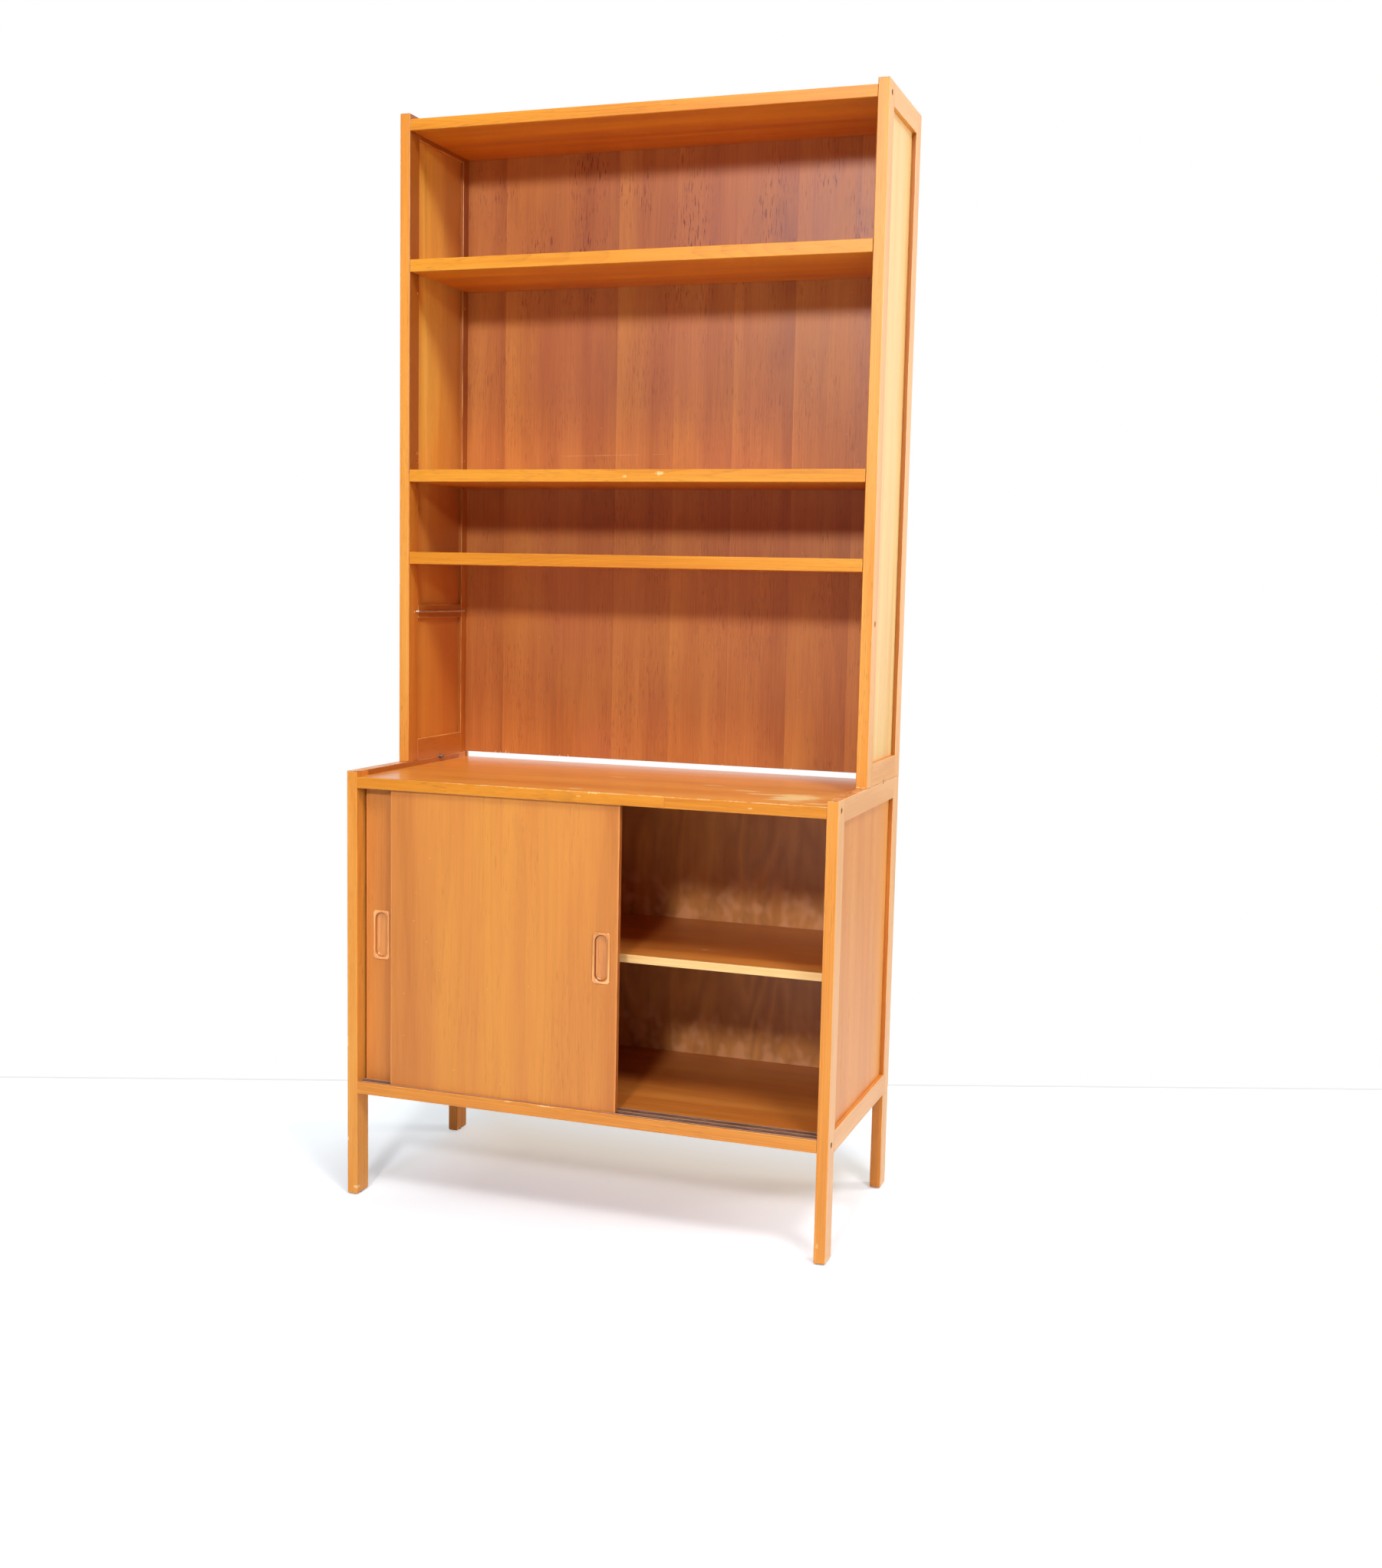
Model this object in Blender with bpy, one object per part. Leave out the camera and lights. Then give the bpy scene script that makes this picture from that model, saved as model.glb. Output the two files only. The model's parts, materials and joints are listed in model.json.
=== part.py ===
"""
Bookcase with a base cabinet, in teak.

A shallow open bookcase stands at the rear of a deeper cabinet on four legs. Every side is a frame of
stiles and rails round a thin panel. Long bolts draw the boards to the sides, the upper shelves hang
on bent steel wires, and two doors slide in a pair of grooved tracks.

Units are metres. +X is the object's right as seen from the front, +Y its back and +Z up. The origin
is on the floor, under the middle of the base cabinet.
"""
import math

import bmesh
import bpy
from mathutils import Matrix, Vector

for old_object in list(bpy.data.objects):
    bpy.data.objects.remove(old_object, do_unlink=True)

# Overall sizes
WIDTH = 0.900
BASE_DEPTH = 0.440
UPPER_DEPTH = 0.250
BASE_HEIGHT = 0.778
UPPER_HEIGHT = 1.172

# Clearances
SEAT = 0.0003           # between pieces that touch
PANEL_PLAY = 0.0008     # between a panel's edge and the bottom of its groove
PAST = 0.004            # how far a cut runs past the wood it leaves
ARRIS = 0.0012          # rounding of the long edges
ARC_STEPS = 2           # straight lines in a quarter round arris

# Side frames
SIDE_THICK = 0.020
UPPER_STILE = 0.036
LEG = 0.040
UPPER_TOP_RAIL = 0.038
UPPER_BOTTOM_RAIL = 0.040
BASE_TOP_RAIL = 0.038
BASE_BOTTOM_RAIL = 0.038
LEG_CLEAR = 0.183       # floor to the base side's bottom rail
PANEL_THICK = 0.005
PANEL_SET_BACK = 0.008  # panel face behind the frame's outer face
PANEL_GROOVE = 0.006
MID_RAIL = 0.024
MID_RAIL_UP = 0.280     # middle of the mid rail above the upper bookcase's foot

# Fixed boards
UPPER_BOARD = 0.020
BASE_BOARD = 0.020
BOTTOM_BOARD = 0.022
BOARD_DROP = 0.010      # top boards lie this far below the tops of the sides
BOTTOM_CLEAR = 0.191    # floor to the underside of the bottom board
LIPPING = 0.004

# Backs
BACK_SET_IN = 0.008     # from the rear plane to the back's groove
BACK_GROOVE = 0.006
UPPER_BACK = 0.006
BASE_BACK = 0.005
BACK_FOOT = 0.0005      # the upper back stops this far above the upper bookcase's foot
TOP_OVERHANG = 0.009    # the base top board stops this far short of the rear plane

# Adjustable upper shelves: name and height of the upper surface above the upper bookcase's foot
SHELF_LEVELS = (("lower", 0.390), ("middle", 0.540), ("top", 0.916))
SHELF_THICK = 0.022
SHELF_LIPPING = 0.006
SHELF_END_GAP = 0.0006
SHELF_BACK_GAP = 0.0007

# Bent steel shelf wires
WIRE = 0.004            # diameter
WIRE_STAND_OFF = 0.0045  # middle of the wire off the side's inner face
WIRE_INSET = 0.007      # middle of the bent end inside the stile's inner edge
WIRE_BEND = 0.0035      # radius of each bend
WIRE_BEND_STEPS = 3
WIRE_HOLE_DEPTH = 0.006
WIRE_PLAY = 0.0003
WIRE_SLOT_END = 0.0005  # from the bent end to the front end of the shelf's slot
SPARE_HOLES_UP = (0.555, 0.572, 0.861)

# Inner shelf of the cabinet
INNER_SHELF = 0.014
INNER_SHELF_TOP = 0.478
INNER_SHELF_SET_BACK = 0.070  # its front edge behind the front plane
BEARER_HEIGHT = 0.018
BEARER_OUT = 0.010      # bearer proud of the side's inner face

# Door tracks and doors
TRACK_RIM = 0.003
TRACK_GROOVE = 0.013
TRACK_RIDGE = 0.004
TRACK_FLOOR = 0.0015
LOWER_GROOVE = 0.0025
UPPER_GROOVE = 0.0052
TRACK_PROUD = 0.001     # lower track above the bottom board
DOOR_THICK = 0.012
DOOR_OVERLAP = 0.012    # of the two doors when closed
DOOR_IN_UPPER = 0.0027  # door top above the mouth of the upper groove
DOOR_SIDE_GAP = 0.0005
FRONT_DOOR_AT = 0.0635  # left edge of the front door from the left side, as photographed
REAR_DOOR_AT = 0.0050

# Inset door pulls
PULL_WIDTH = 0.033
PULL_HEIGHT = 0.090
PULL_RIM = 0.005
PULL_END_RIM = 0.0055
PULL_CORNER = 0.008
PULL_END_FLAT = 0.0005  # half the short straight at each end of the hollow
PULL_STEPS = 4          # straight lines in each of its corners
PULL_DEPTH = 0.0085
PULL_FLOOR = 0.002
PULL_PROUD = 0.0012
PULL_FROM_EDGE = 0.0305
PULL_ABOVE_FLOOR = 0.482

# Long bolts through the sides into the ends of the boards, near their front
BOLT_HEAD = 0.010
BOLT_HEAD_HIGH = 0.004
BOLT_SHANK = 0.005
BOLT_SUNK = 0.001       # head below the side's outer face
BOLT_REACH = 0.040      # shank inside the board
BOLT_SOCKET = 0.004
BOLT_SOCKET_DEEP = 0.002
BOLT_FROM_FRONT = 0.020
TOP_BOLT_UP = 0.0125    # base top bolts above the board's underside, clear of the track

# Small parts
PIN = 0.008
PIN_IN = 0.007          # pin proud of the side's inner face
PIN_SUNK = 0.0006       # pin below the side's outer face
FOOT_CHAMFER = 0.002
ROUND_SIDES = 12

# Places that follow from the sizes above
REAR = BASE_DEPTH / 2
BASE_FRONT = -BASE_DEPTH / 2
UPPER_FRONT = REAR - UPPER_DEPTH
INNER = WIDTH / 2 - SIDE_THICK
UPPER_FOOT = BASE_HEIGHT + SEAT
UPPER_TOP = BASE_HEIGHT + UPPER_HEIGHT
BOARD_END = INNER - SEAT
UPPER_BOARD_TOP = UPPER_TOP - BOARD_DROP
BASE_BOARD_TOP = BASE_HEIGHT - BOARD_DROP
BASE_BOARD_UNDER = BASE_BOARD_TOP - BASE_BOARD
BOTTOM_BOARD_TOP = BOTTOM_CLEAR + BOTTOM_BOARD
BACK_REAR = REAR - BACK_SET_IN - SEAT
UPPER_BACK_FRONT = BACK_REAR - UPPER_BACK
BASE_BACK_FRONT = BACK_REAR - BASE_BACK
BACK_EDGE = INNER + BACK_GROOVE - PANEL_PLAY
TRACK_WIDTH = 2 * TRACK_RIM + 2 * TRACK_GROOVE + TRACK_RIDGE
TRACK_FRONT = BASE_FRONT + LIPPING + SEAT
TRACK_BACK = TRACK_FRONT + TRACK_WIDTH
LOWER_TRACK_FLOOR = BOTTOM_BOARD_TOP + TRACK_PROUD - LOWER_GROOVE
DOOR_FOOT = LOWER_TRACK_FLOOR + SEAT
DOOR_HEAD = BASE_BOARD_UNDER + DOOR_IN_UPPER
DOOR_WIDTH = (2 * INNER + DOOR_OVERLAP) / 2 - DOOR_SIDE_GAP
FRONT_DOOR_FACE = TRACK_FRONT + TRACK_RIM + (TRACK_GROOVE - DOOR_THICK) / 2
REAR_DOOR_FACE = FRONT_DOOR_FACE + TRACK_GROOVE + TRACK_RIDGE
WIRE_FRONT = UPPER_FRONT + UPPER_STILE - WIRE_INSET
WIRE_BACK = REAR - UPPER_STILE + WIRE_INSET
WIRE_LEVELS = [("bare", UPPER_FOOT + MID_RAIL_UP)]
WIRE_LEVELS += [(name, UPPER_FOOT + up - SHELF_THICK / 2) for name, up in SHELF_LEVELS]
PIN_Y = UPPER_FRONT + UPPER_DEPTH / 2
SIDES = (("left", -1), ("right", 1))


# Materials

def finish(name, colour, roughness, metallic=0.0):
    """A plain surface with one colour."""
    material = bpy.data.materials.new(name)
    material.use_nodes = True
    shader = material.node_tree.nodes["Principled BSDF"]
    shader.inputs["Base Color"].default_value = (*colour, 1.0)
    shader.inputs["Roughness"].default_value = roughness
    shader.inputs["Metallic"].default_value = metallic
    return material


SOLID_TEAK = finish("solid_teak", (0.72, 0.34, 0.09), 0.42)
TEAK_VENEER = finish("teak_veneer", (0.62, 0.27, 0.08), 0.45)
TEAK_BACK = finish("teak_back", (0.36, 0.12, 0.045), 0.5)
PLYWOOD = finish("plywood", (0.33, 0.14, 0.06), 0.55)
STEEL = finish("bright_steel", (0.75, 0.74, 0.72), 0.28, 1.0)
DARK_STEEL = finish("dark_steel", (0.09, 0.08, 0.08), 0.4, 1.0)
TRACK_BROWN = finish("brown_plastic", (0.17, 0.09, 0.07), 0.45)


# Shapes

def block(x_span, y_span, z_span):
    """A box between three pairs of coordinates, given in either order."""
    spans = (x_span, y_span, z_span)
    shape = bmesh.new()
    bmesh.ops.create_cube(shape, size=1.0)
    bmesh.ops.scale(shape, vec=[abs(high - low) for low, high in spans], verts=shape.verts)
    bmesh.ops.translate(shape, vec=[(low + high) / 2 for low, high in spans], verts=shape.verts)
    return shape


def rounded(corners, radii, steps=ARC_STEPS):
    """An outline of square corners, each turned into a quarter round of its own radius."""
    outline = []
    for index, (corner, radius) in enumerate(zip(corners, radii)):
        corner = Vector(corner)
        if radius == 0:
            outline.append(corner)
            continue
        before = (Vector(corners[index - 1]) - corner).normalized() * radius
        after = (Vector(corners[(index + 1) % len(corners)]) - corner).normalized() * radius
        centre = corner + before + after
        for step in range(steps + 1):
            angle = math.pi / 2 * step / steps
            outline.append(centre - after * math.cos(angle) - before * math.sin(angle))
    return outline


def loft(rings):
    """Join rings of equally many points into one closed shape with flat ends."""
    shape = bmesh.new()
    rings = [[shape.verts.new(point) for point in ring] for ring in rings]
    count = len(rings[0])
    for near, far in zip(rings, rings[1:]):
        for k in range(count):
            after = (k + 1) % count
            shape.faces.new((near[k], near[after], far[after], far[k]))
    shape.faces.new(rings[0])
    shape.faces.new(rings[-1])
    bmesh.ops.recalc_face_normals(shape, faces=shape.faces)
    return shape


def prism(outline, low, high, axis):
    """Extrude an outline along axis 0, 1 or 2; its numbers are the other two axes in order."""
    rings = [[list(point) for point in outline] for end in (low, high)]
    for ring, end in zip(rings, (low, high)):
        for point in ring:
            point.insert(axis, end)
    return loft(rings)


def leg_shape(outline, low, high):
    """An upright post whose foot has a chamfer all round."""
    xs, ys = zip(*outline)
    middle_x, middle_y = (min(xs) + max(xs)) / 2, (min(ys) + max(ys)) / 2
    shrink_x = 1 - 2 * FOOT_CHAMFER / (max(xs) - min(xs))
    shrink_y = 1 - 2 * FOOT_CHAMFER / (max(ys) - min(ys))
    foot = [(middle_x + (x - middle_x) * shrink_x, middle_y + (y - middle_y) * shrink_y) for x, y in outline]
    rings = ((foot, low), (outline, low + FOOT_CHAMFER), (outline, high))
    return loft([[(x, y, z) for x, y in ring] for ring, z in rings])


def turned(profile, start, direction, sides=ROUND_SIDES):
    """A lathe shape; profile holds (radius, distance along direction), from axis to axis."""
    shape = bmesh.new()
    rings = []
    for radius, along in profile:
        count = sides if radius > 0 else 1
        turns = [2 * math.pi * (k + 0.5) / sides for k in range(count)]
        ring = [shape.verts.new((radius * math.cos(t), radius * math.sin(t), along)) for t in turns]
        rings.append(ring)
    for near, far in zip(rings, rings[1:]):
        for k in range(sides):
            after = (k + 1) % sides
            corners = [near[k % len(near)], near[after % len(near)], far[after % len(far)], far[k % len(far)]]
            shape.faces.new(list(dict.fromkeys(corners)))
    bmesh.ops.recalc_face_normals(shape, faces=shape.faces)
    turn = Vector((0, 0, 1)).rotation_difference(Vector(direction)).to_matrix().to_4x4()
    bmesh.ops.transform(shape, matrix=Matrix.Translation(start) @ turn, verts=shape.verts)
    return shape


def rod(radius, start, direction, length):
    """A plain round bar."""
    return turned(((0, 0), (radius, 0), (radius, length), (0, length)), start, direction)


def gather(shapes):
    """Put several closed shapes in one mesh."""
    whole = bmesh.new()
    for shape in shapes:
        part = bpy.data.meshes.new("part")
        shape.to_mesh(part)
        shape.free()
        whole.from_mesh(part)
        bpy.data.meshes.remove(part)
    return whole


# Objects

def make(name, shape, material, carrier=None):
    """One sub-part, with its origin at its own middle or, if it moves, on its carrier's axis."""
    xs, ys, zs = zip(*(vert.co for vert in shape.verts))
    middle = Vector([(min(values) + max(values)) / 2 for values in (xs, ys, zs)])
    origin = carrier.location if carrier else middle
    bmesh.ops.translate(shape, vec=-origin, verts=shape.verts)
    mesh = bpy.data.meshes.new(name)
    shape.to_mesh(mesh)
    shape.free()
    mesh.materials.append(material)
    item = bpy.data.objects.new(name, mesh)
    bpy.context.scene.collection.objects.link(item)
    if carrier:
        item.parent = carrier
    else:
        item.location = origin
    return item


def carve(item, name, shapes):
    """Cut shapes out of an object; shapes given together don't cross each other."""
    cutter = make(f"{item.name}_{name}", gather(shapes), DARK_STEEL)
    cutter.hide_render = True
    cutter.display_type = "WIRE"
    cut = item.modifiers.new(name, "BOOLEAN")
    cut.operation = "DIFFERENCE"
    cut.solver = "EXACT"
    cut.object = cutter


def slide_axis(name, location):
    """An empty on the line along which a moving piece slides."""
    empty = bpy.data.objects.new(name, None)
    empty.location = location
    bpy.context.scene.collection.objects.link(empty)
    return empty


# Bolts: places and shapes shared by the sides, the boards and the bolts themselves

def inward(hand, depth):
    """The X at a depth inside a side's outer face; hand is -1 on the left and 1 on the right."""
    return hand * (WIDTH / 2 - depth)


UPPER_BOLT = (UPPER_FRONT + BOLT_FROM_FRONT, UPPER_BOARD_TOP - UPPER_BOARD / 2)
TOP_BOLT = (BASE_FRONT + BOLT_FROM_FRONT, BASE_BOARD_UNDER + TOP_BOLT_UP)
BOTTOM_BOLT = (BASE_FRONT + BOLT_FROM_FRONT, BOTTOM_CLEAR + BOTTOM_BOARD / 2 - SEAT)
BOLTS = (("upper", UPPER_BOLT), ("base_top", TOP_BOLT), ("base_bottom", BOTTOM_BOLT))


def bolt(hand, y, z):
    """A sunk cap bolt from the side's outer face into the end of a board."""
    radius = BOLT_HEAD / 2
    head_end = BOLT_SUNK + BOLT_HEAD_HIGH
    tip = SIDE_THICK + BOLT_REACH
    profile = (
        (0, BOLT_SUNK + BOLT_SOCKET_DEEP), (BOLT_SOCKET / 2, BOLT_SUNK + BOLT_SOCKET_DEEP),
        (BOLT_SOCKET / 2, BOLT_SUNK), (radius, BOLT_SUNK), (radius, head_end),
        (BOLT_SHANK / 2, head_end), (BOLT_SHANK / 2, tip), (0, tip),
    )
    return turned(profile, (inward(hand, 0), y, z), (-hand, 0, 0))


def side_bolt_hole(hand, y, z):
    """The counterbored hole for a bolt through a side."""
    wide = BOLT_HEAD / 2 + SEAT
    narrow = BOLT_SHANK / 2 + SEAT
    seat = BOLT_SUNK + BOLT_HEAD_HIGH + SEAT
    tip = SIDE_THICK + PAST
    profile = ((0, -PAST), (wide, -PAST), (wide, seat), (narrow, seat), (narrow, tip), (0, tip))
    return turned(profile, (inward(hand, 0), y, z), (-hand, 0, 0))


def bolted_board(board, place):
    """Drill both ends of a board for their bolts."""
    radius = BOLT_SHANK / 2 + SEAT
    length = BOLT_REACH + PAST + SEAT
    starts = [(hand, (inward(hand, SIDE_THICK - PAST), *place)) for side, hand in SIDES]
    carve(board, "bolt_holes", [rod(radius, start, (-hand, 0, 0), length) for hand, start in starts])


# Side frames

def post_outline(hand, y_from, y_to, front_post):
    """A post's section, with its two front or two rear arrises rounded."""
    near = inward(hand, 0)
    far = inward(hand, SIDE_THICK)
    corners = ((near, y_from), (far, y_from), (far, y_to), (near, y_to))
    radii = (ARRIS, ARRIS, 0, 0) if front_post else (0, 0, ARRIS, ARRIS)
    return rounded(corners, radii)


def panel_slot(hand, y_span, z_span):
    """A cut as thick as the panel and its clearance."""
    outer = inward(hand, PANEL_SET_BACK - SEAT)
    inner = inward(hand, PANEL_SET_BACK + PANEL_THICK + SEAT)
    return block((outer, inner), y_span, z_span)


def rail(name, hand, y_span, z_span, groove_up):
    """A rail with a stub tenon at each end and a groove for the panel along one edge."""
    shoulder = (y_span[0] + SEAT, y_span[1] - SEAT)
    tenon = (shoulder[0] - PANEL_GROOVE, shoulder[1] + PANEL_GROOVE)
    face = inward(hand, 0)
    outer = inward(hand, PANEL_SET_BACK)
    inner = inward(hand, PANEL_SET_BACK + PANEL_THICK)
    rear = inward(hand, SIDE_THICK)
    outline = (
        (face, shoulder[0]), (outer, shoulder[0]), (outer, tenon[0]), (inner, tenon[0]),
        (inner, shoulder[0]), (rear, shoulder[0]), (rear, shoulder[1]), (inner, shoulder[1]),
        (inner, tenon[1]), (outer, tenon[1]), (outer, shoulder[1]), (face, shoulder[1]),
    )
    item = make(name, prism(outline, z_span[0], z_span[1], 2), SOLID_TEAK)
    along = (tenon[0] - PAST, tenon[1] + PAST)
    if groove_up:
        depths = (z_span[1] - PANEL_GROOVE, z_span[1] + PAST)
    else:
        depths = (z_span[0] - PAST, z_span[0] + PANEL_GROOVE)
    carve(item, "panel_groove", [panel_slot(hand, along, depths)])
    return item


def side_frame(prefix, hand, front, width, posts, rails):
    """Grooved rails and a panel between two posts, which have grooves for the rails and the panel."""
    (bottom_foot, bottom_head), (top_foot, top_head) = rails
    inner_edges = (front + width, REAR - width)
    slot_z = (bottom_foot - SEAT, top_head + PAST)
    slot_depths = (
        (inner_edges[0] - PANEL_GROOVE, inner_edges[0] + PAST),
        (inner_edges[1] - PAST, inner_edges[1] + PANEL_GROOVE),
    )
    for post, slot_y in zip(posts, slot_depths):
        carve(post, "panel_groove", [panel_slot(hand, slot_y, slot_z)])
    bottom_rail = rail(f"{prefix}_bottom_rail", hand, inner_edges, (bottom_foot, bottom_head), True)
    top_rail = rail(f"{prefix}_top_rail", hand, inner_edges, (top_foot, top_head), False)
    reach = PANEL_GROOVE - PANEL_PLAY
    panel = block(
        (inward(hand, PANEL_SET_BACK), inward(hand, PANEL_SET_BACK + PANEL_THICK)),
        (inner_edges[0] - reach, inner_edges[1] + reach), (bottom_head - reach, top_foot + reach))
    make(f"{prefix}_panel", panel, TEAK_VENEER)
    return bottom_rail, top_rail


def back_slot(hand, thick, low, high):
    """The groove for a back panel in the inner face of a rear post."""
    depths = (inward(hand, SIDE_THICK - BACK_GROOVE), inward(hand, SIDE_THICK + PAST))
    return block(depths, (BACK_REAR - thick - SEAT, BACK_REAR + SEAT), (low, high))


def pin_notch(hand):
    """The round hole for a locating pin, half above and half below the joint."""
    start = (inward(hand, -PAST), PIN_Y, BASE_HEIGHT + SEAT / 2)
    return rod(PIN / 2 + SEAT, start, (-hand, 0, 0), SIDE_THICK + 2 * PAST)


def wire_hole(hand, y, z):
    """A blind hole in a stile's inner face for a wire's bent end."""
    start = (inward(hand, SIDE_THICK + PAST), y, z)
    return rod(WIRE / 2 + WIRE_PLAY, start, (hand, 0, 0), WIRE_HOLE_DEPTH + PAST)


def upper_side(side, hand):
    """One side of the upper bookcase, with its mid rail."""
    prefix = f"upper_{side}"
    outline = post_outline(hand, UPPER_FRONT, UPPER_FRONT + UPPER_STILE, True)
    front_stile = make(f"{prefix}_front_stile", prism(outline, UPPER_FOOT, UPPER_TOP, 2), SOLID_TEAK)
    outline = post_outline(hand, REAR - UPPER_STILE, REAR, False)
    back_stile = make(f"{prefix}_back_stile", prism(outline, UPPER_FOOT, UPPER_TOP, 2), SOLID_TEAK)
    rails = ((UPPER_FOOT, UPPER_FOOT + UPPER_BOTTOM_RAIL), (UPPER_TOP - UPPER_TOP_RAIL, UPPER_TOP))
    posts = (front_stile, back_stile)
    bottom_rail, top_rail = side_frame(prefix, hand, UPPER_FRONT, UPPER_STILE, posts, rails)
    carve(bottom_rail, "pin_notch", [pin_notch(hand)])

    middle = UPPER_FOOT + MID_RAIL_UP
    heights = [z for name, z in WIRE_LEVELS] + [UPPER_FOOT + up for up in SPARE_HOLES_UP]
    bolt_holes = [side_bolt_hole(hand, UPPER_BOLT[0], z) for z in (UPPER_BOLT[1], middle)]
    carve(front_stile, "holes", [wire_hole(hand, WIRE_FRONT, z) for z in heights] + bolt_holes)
    groove = back_slot(hand, UPPER_BACK, UPPER_FOOT - PAST, UPPER_TOP + PAST)
    carve(back_stile, "holes", [wire_hole(hand, WIRE_BACK, z) for z in heights] + [groove])

    mid_rail = block(
        (inward(hand, PANEL_SET_BACK + PANEL_THICK + SEAT), inward(hand, SIDE_THICK)),
        (UPPER_FRONT + UPPER_STILE + SEAT, REAR - UPPER_STILE - SEAT),
        (middle - MID_RAIL / 2, middle + MID_RAIL / 2))
    make(f"{prefix}_mid_rail", mid_rail, SOLID_TEAK)


def base_side(side, hand):
    """One side of the base cabinet, with its legs and the bearer of the inner shelf."""
    prefix = f"base_{side}"
    outline = post_outline(hand, BASE_FRONT, BASE_FRONT + LEG, True)
    front_leg = make(f"{prefix}_front_leg", leg_shape(outline, 0, BASE_HEIGHT), SOLID_TEAK)
    outline = post_outline(hand, REAR - LEG, REAR, False)
    back_leg = make(f"{prefix}_back_leg", leg_shape(outline, 0, BASE_HEIGHT), SOLID_TEAK)
    rails = ((LEG_CLEAR, LEG_CLEAR + BASE_BOTTOM_RAIL), (BASE_HEIGHT - BASE_TOP_RAIL, BASE_HEIGHT))
    bottom_rail, top_rail = side_frame(prefix, hand, BASE_FRONT, LEG, (front_leg, back_leg), rails)
    carve(top_rail, "pin_notch", [pin_notch(hand)])
    carve(front_leg, "bolt_holes", [side_bolt_hole(hand, *place) for place in (TOP_BOLT, BOTTOM_BOLT)])
    groove = back_slot(hand, BASE_BACK, BOTTOM_CLEAR - SEAT, BASE_HEIGHT + PAST)
    carve(back_leg, "back_groove", [groove])

    top = INNER_SHELF_TOP - INNER_SHELF - SEAT
    bearer = block(
        (inward(hand, PANEL_SET_BACK + PANEL_THICK + SEAT), inward(hand, SIDE_THICK + BEARER_OUT)),
        (BASE_FRONT + LEG + SEAT, REAR - LEG - SEAT), (top - BEARER_HEIGHT, top))
    make(f"{prefix}_shelf_bearer", bearer, SOLID_TEAK)


# Boards and backs

def lipping(name, end, front, thick, z_span, carrier=None):
    """A strip of solid wood along a board's front edge, rounded on its front arrises."""
    corners = ((front, z_span[0]), (front + thick, z_span[0]), (front + thick, z_span[1]), (front, z_span[1]))
    outline = rounded(corners, (ARRIS, 0, 0, ARRIS))
    make(name, prism(outline, -end, end, 0), SOLID_TEAK, carrier)


def upper_board():
    """The upper top board and its lipping."""
    z_span = (UPPER_BOARD_TOP - UPPER_BOARD, UPPER_BOARD_TOP)
    front = UPPER_FRONT + LIPPING + SEAT
    shape = block((-BOARD_END, BOARD_END), (front, UPPER_BACK_FRONT - SEAT), z_span)
    board = make("upper_top_board", shape, TEAK_VENEER)
    bolted_board(board, UPPER_BOLT)
    lipping("upper_top_lipping", BOARD_END, UPPER_FRONT, LIPPING, z_span)


def base_top():
    """The base cabinet's top board, stepped below for the upper track, and its lipping."""
    low, high = BASE_BOARD_UNDER, BASE_BOARD_TOP
    front, step, back = BASE_FRONT + LIPPING + SEAT, TRACK_BACK + SEAT, REAR - TOP_OVERHANG
    bed = low + TRACK_FLOOR + UPPER_GROOVE + SEAT
    outline = ((front, bed), (step, bed), (step, low), (back, low), (back, high), (front, high))
    board = make("base_top_board", prism(outline, -BOARD_END, BOARD_END, 0), TEAK_VENEER)
    bolted_board(board, TOP_BOLT)
    lipping("base_top_lipping", BOARD_END, BASE_FRONT, LIPPING, (low, high))


def base_bottom():
    """The base cabinet's bottom board, with its front edge and the step for the lower track."""
    low, high = BOTTOM_CLEAR, BOTTOM_BOARD_TOP
    front, back = BASE_FRONT, BASE_BACK_FRONT - SEAT
    bed = LOWER_TRACK_FLOOR - TRACK_FLOOR - SEAT
    corners = (
        (front, low), (back, low), (back, high), (TRACK_BACK + SEAT, high), (TRACK_BACK + SEAT, bed),
        (front + LIPPING, bed), (front + LIPPING, high), (front, high),
    )
    outline = rounded(corners, (ARRIS, 0, 0, 0, 0, 0, 0, ARRIS))
    board = make("base_bottom_board", prism(outline, -BOARD_END, BOARD_END, 0), TEAK_VENEER)
    bolted_board(board, BOTTOM_BOLT)


def backs():
    """The two back panels, which stand in grooves in the rear stiles and legs."""
    edge = (-BACK_EDGE, BACK_EDGE)
    upper = block(edge, (UPPER_BACK_FRONT, BACK_REAR), (UPPER_FOOT + BACK_FOOT, UPPER_BOARD_TOP))
    make("upper_back_panel", upper, TEAK_BACK)
    base = block(edge, (BASE_BACK_FRONT, BACK_REAR), (BOTTOM_CLEAR, BASE_BOARD_UNDER - SEAT))
    make("base_back_panel", base, PLYWOOD)


def inner_shelf():
    """The shelf inside the cabinet, which lies on the two bearers."""
    end = INNER - SHELF_END_GAP
    y_span = (BASE_FRONT + INNER_SHELF_SET_BACK, BASE_BACK_FRONT - SHELF_BACK_GAP)
    shape = block((-end, end), y_span, (INNER_SHELF_TOP - INNER_SHELF, INNER_SHELF_TOP))
    make("inner_shelf", shape, PLYWOOD)


# Adjustable shelves and their wires

def wire_path(hand, z):
    """The middle line of one wire: out of the front stile, along the side and into the rear stile."""
    buried = SIDE_THICK - WIRE_HOLE_DEPTH + WIRE_PLAY
    run = SIDE_THICK + WIRE_STAND_OFF
    path = [(buried, WIRE_FRONT)]
    for centre_y, first_turn in ((WIRE_FRONT + WIRE_BEND, -math.pi / 2), (WIRE_BACK - WIRE_BEND, 0)):
        for step in range(WIRE_BEND_STEPS + 1):
            turn = first_turn + math.pi / 2 * step / WIRE_BEND_STEPS
            depth = run - WIRE_BEND + WIRE_BEND * math.cos(turn)
            path.append((depth, centre_y + WIRE_BEND * math.sin(turn)))
    path.append((buried, WIRE_BACK))
    return [(inward(hand, depth), y, z) for depth, y in path]


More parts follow.
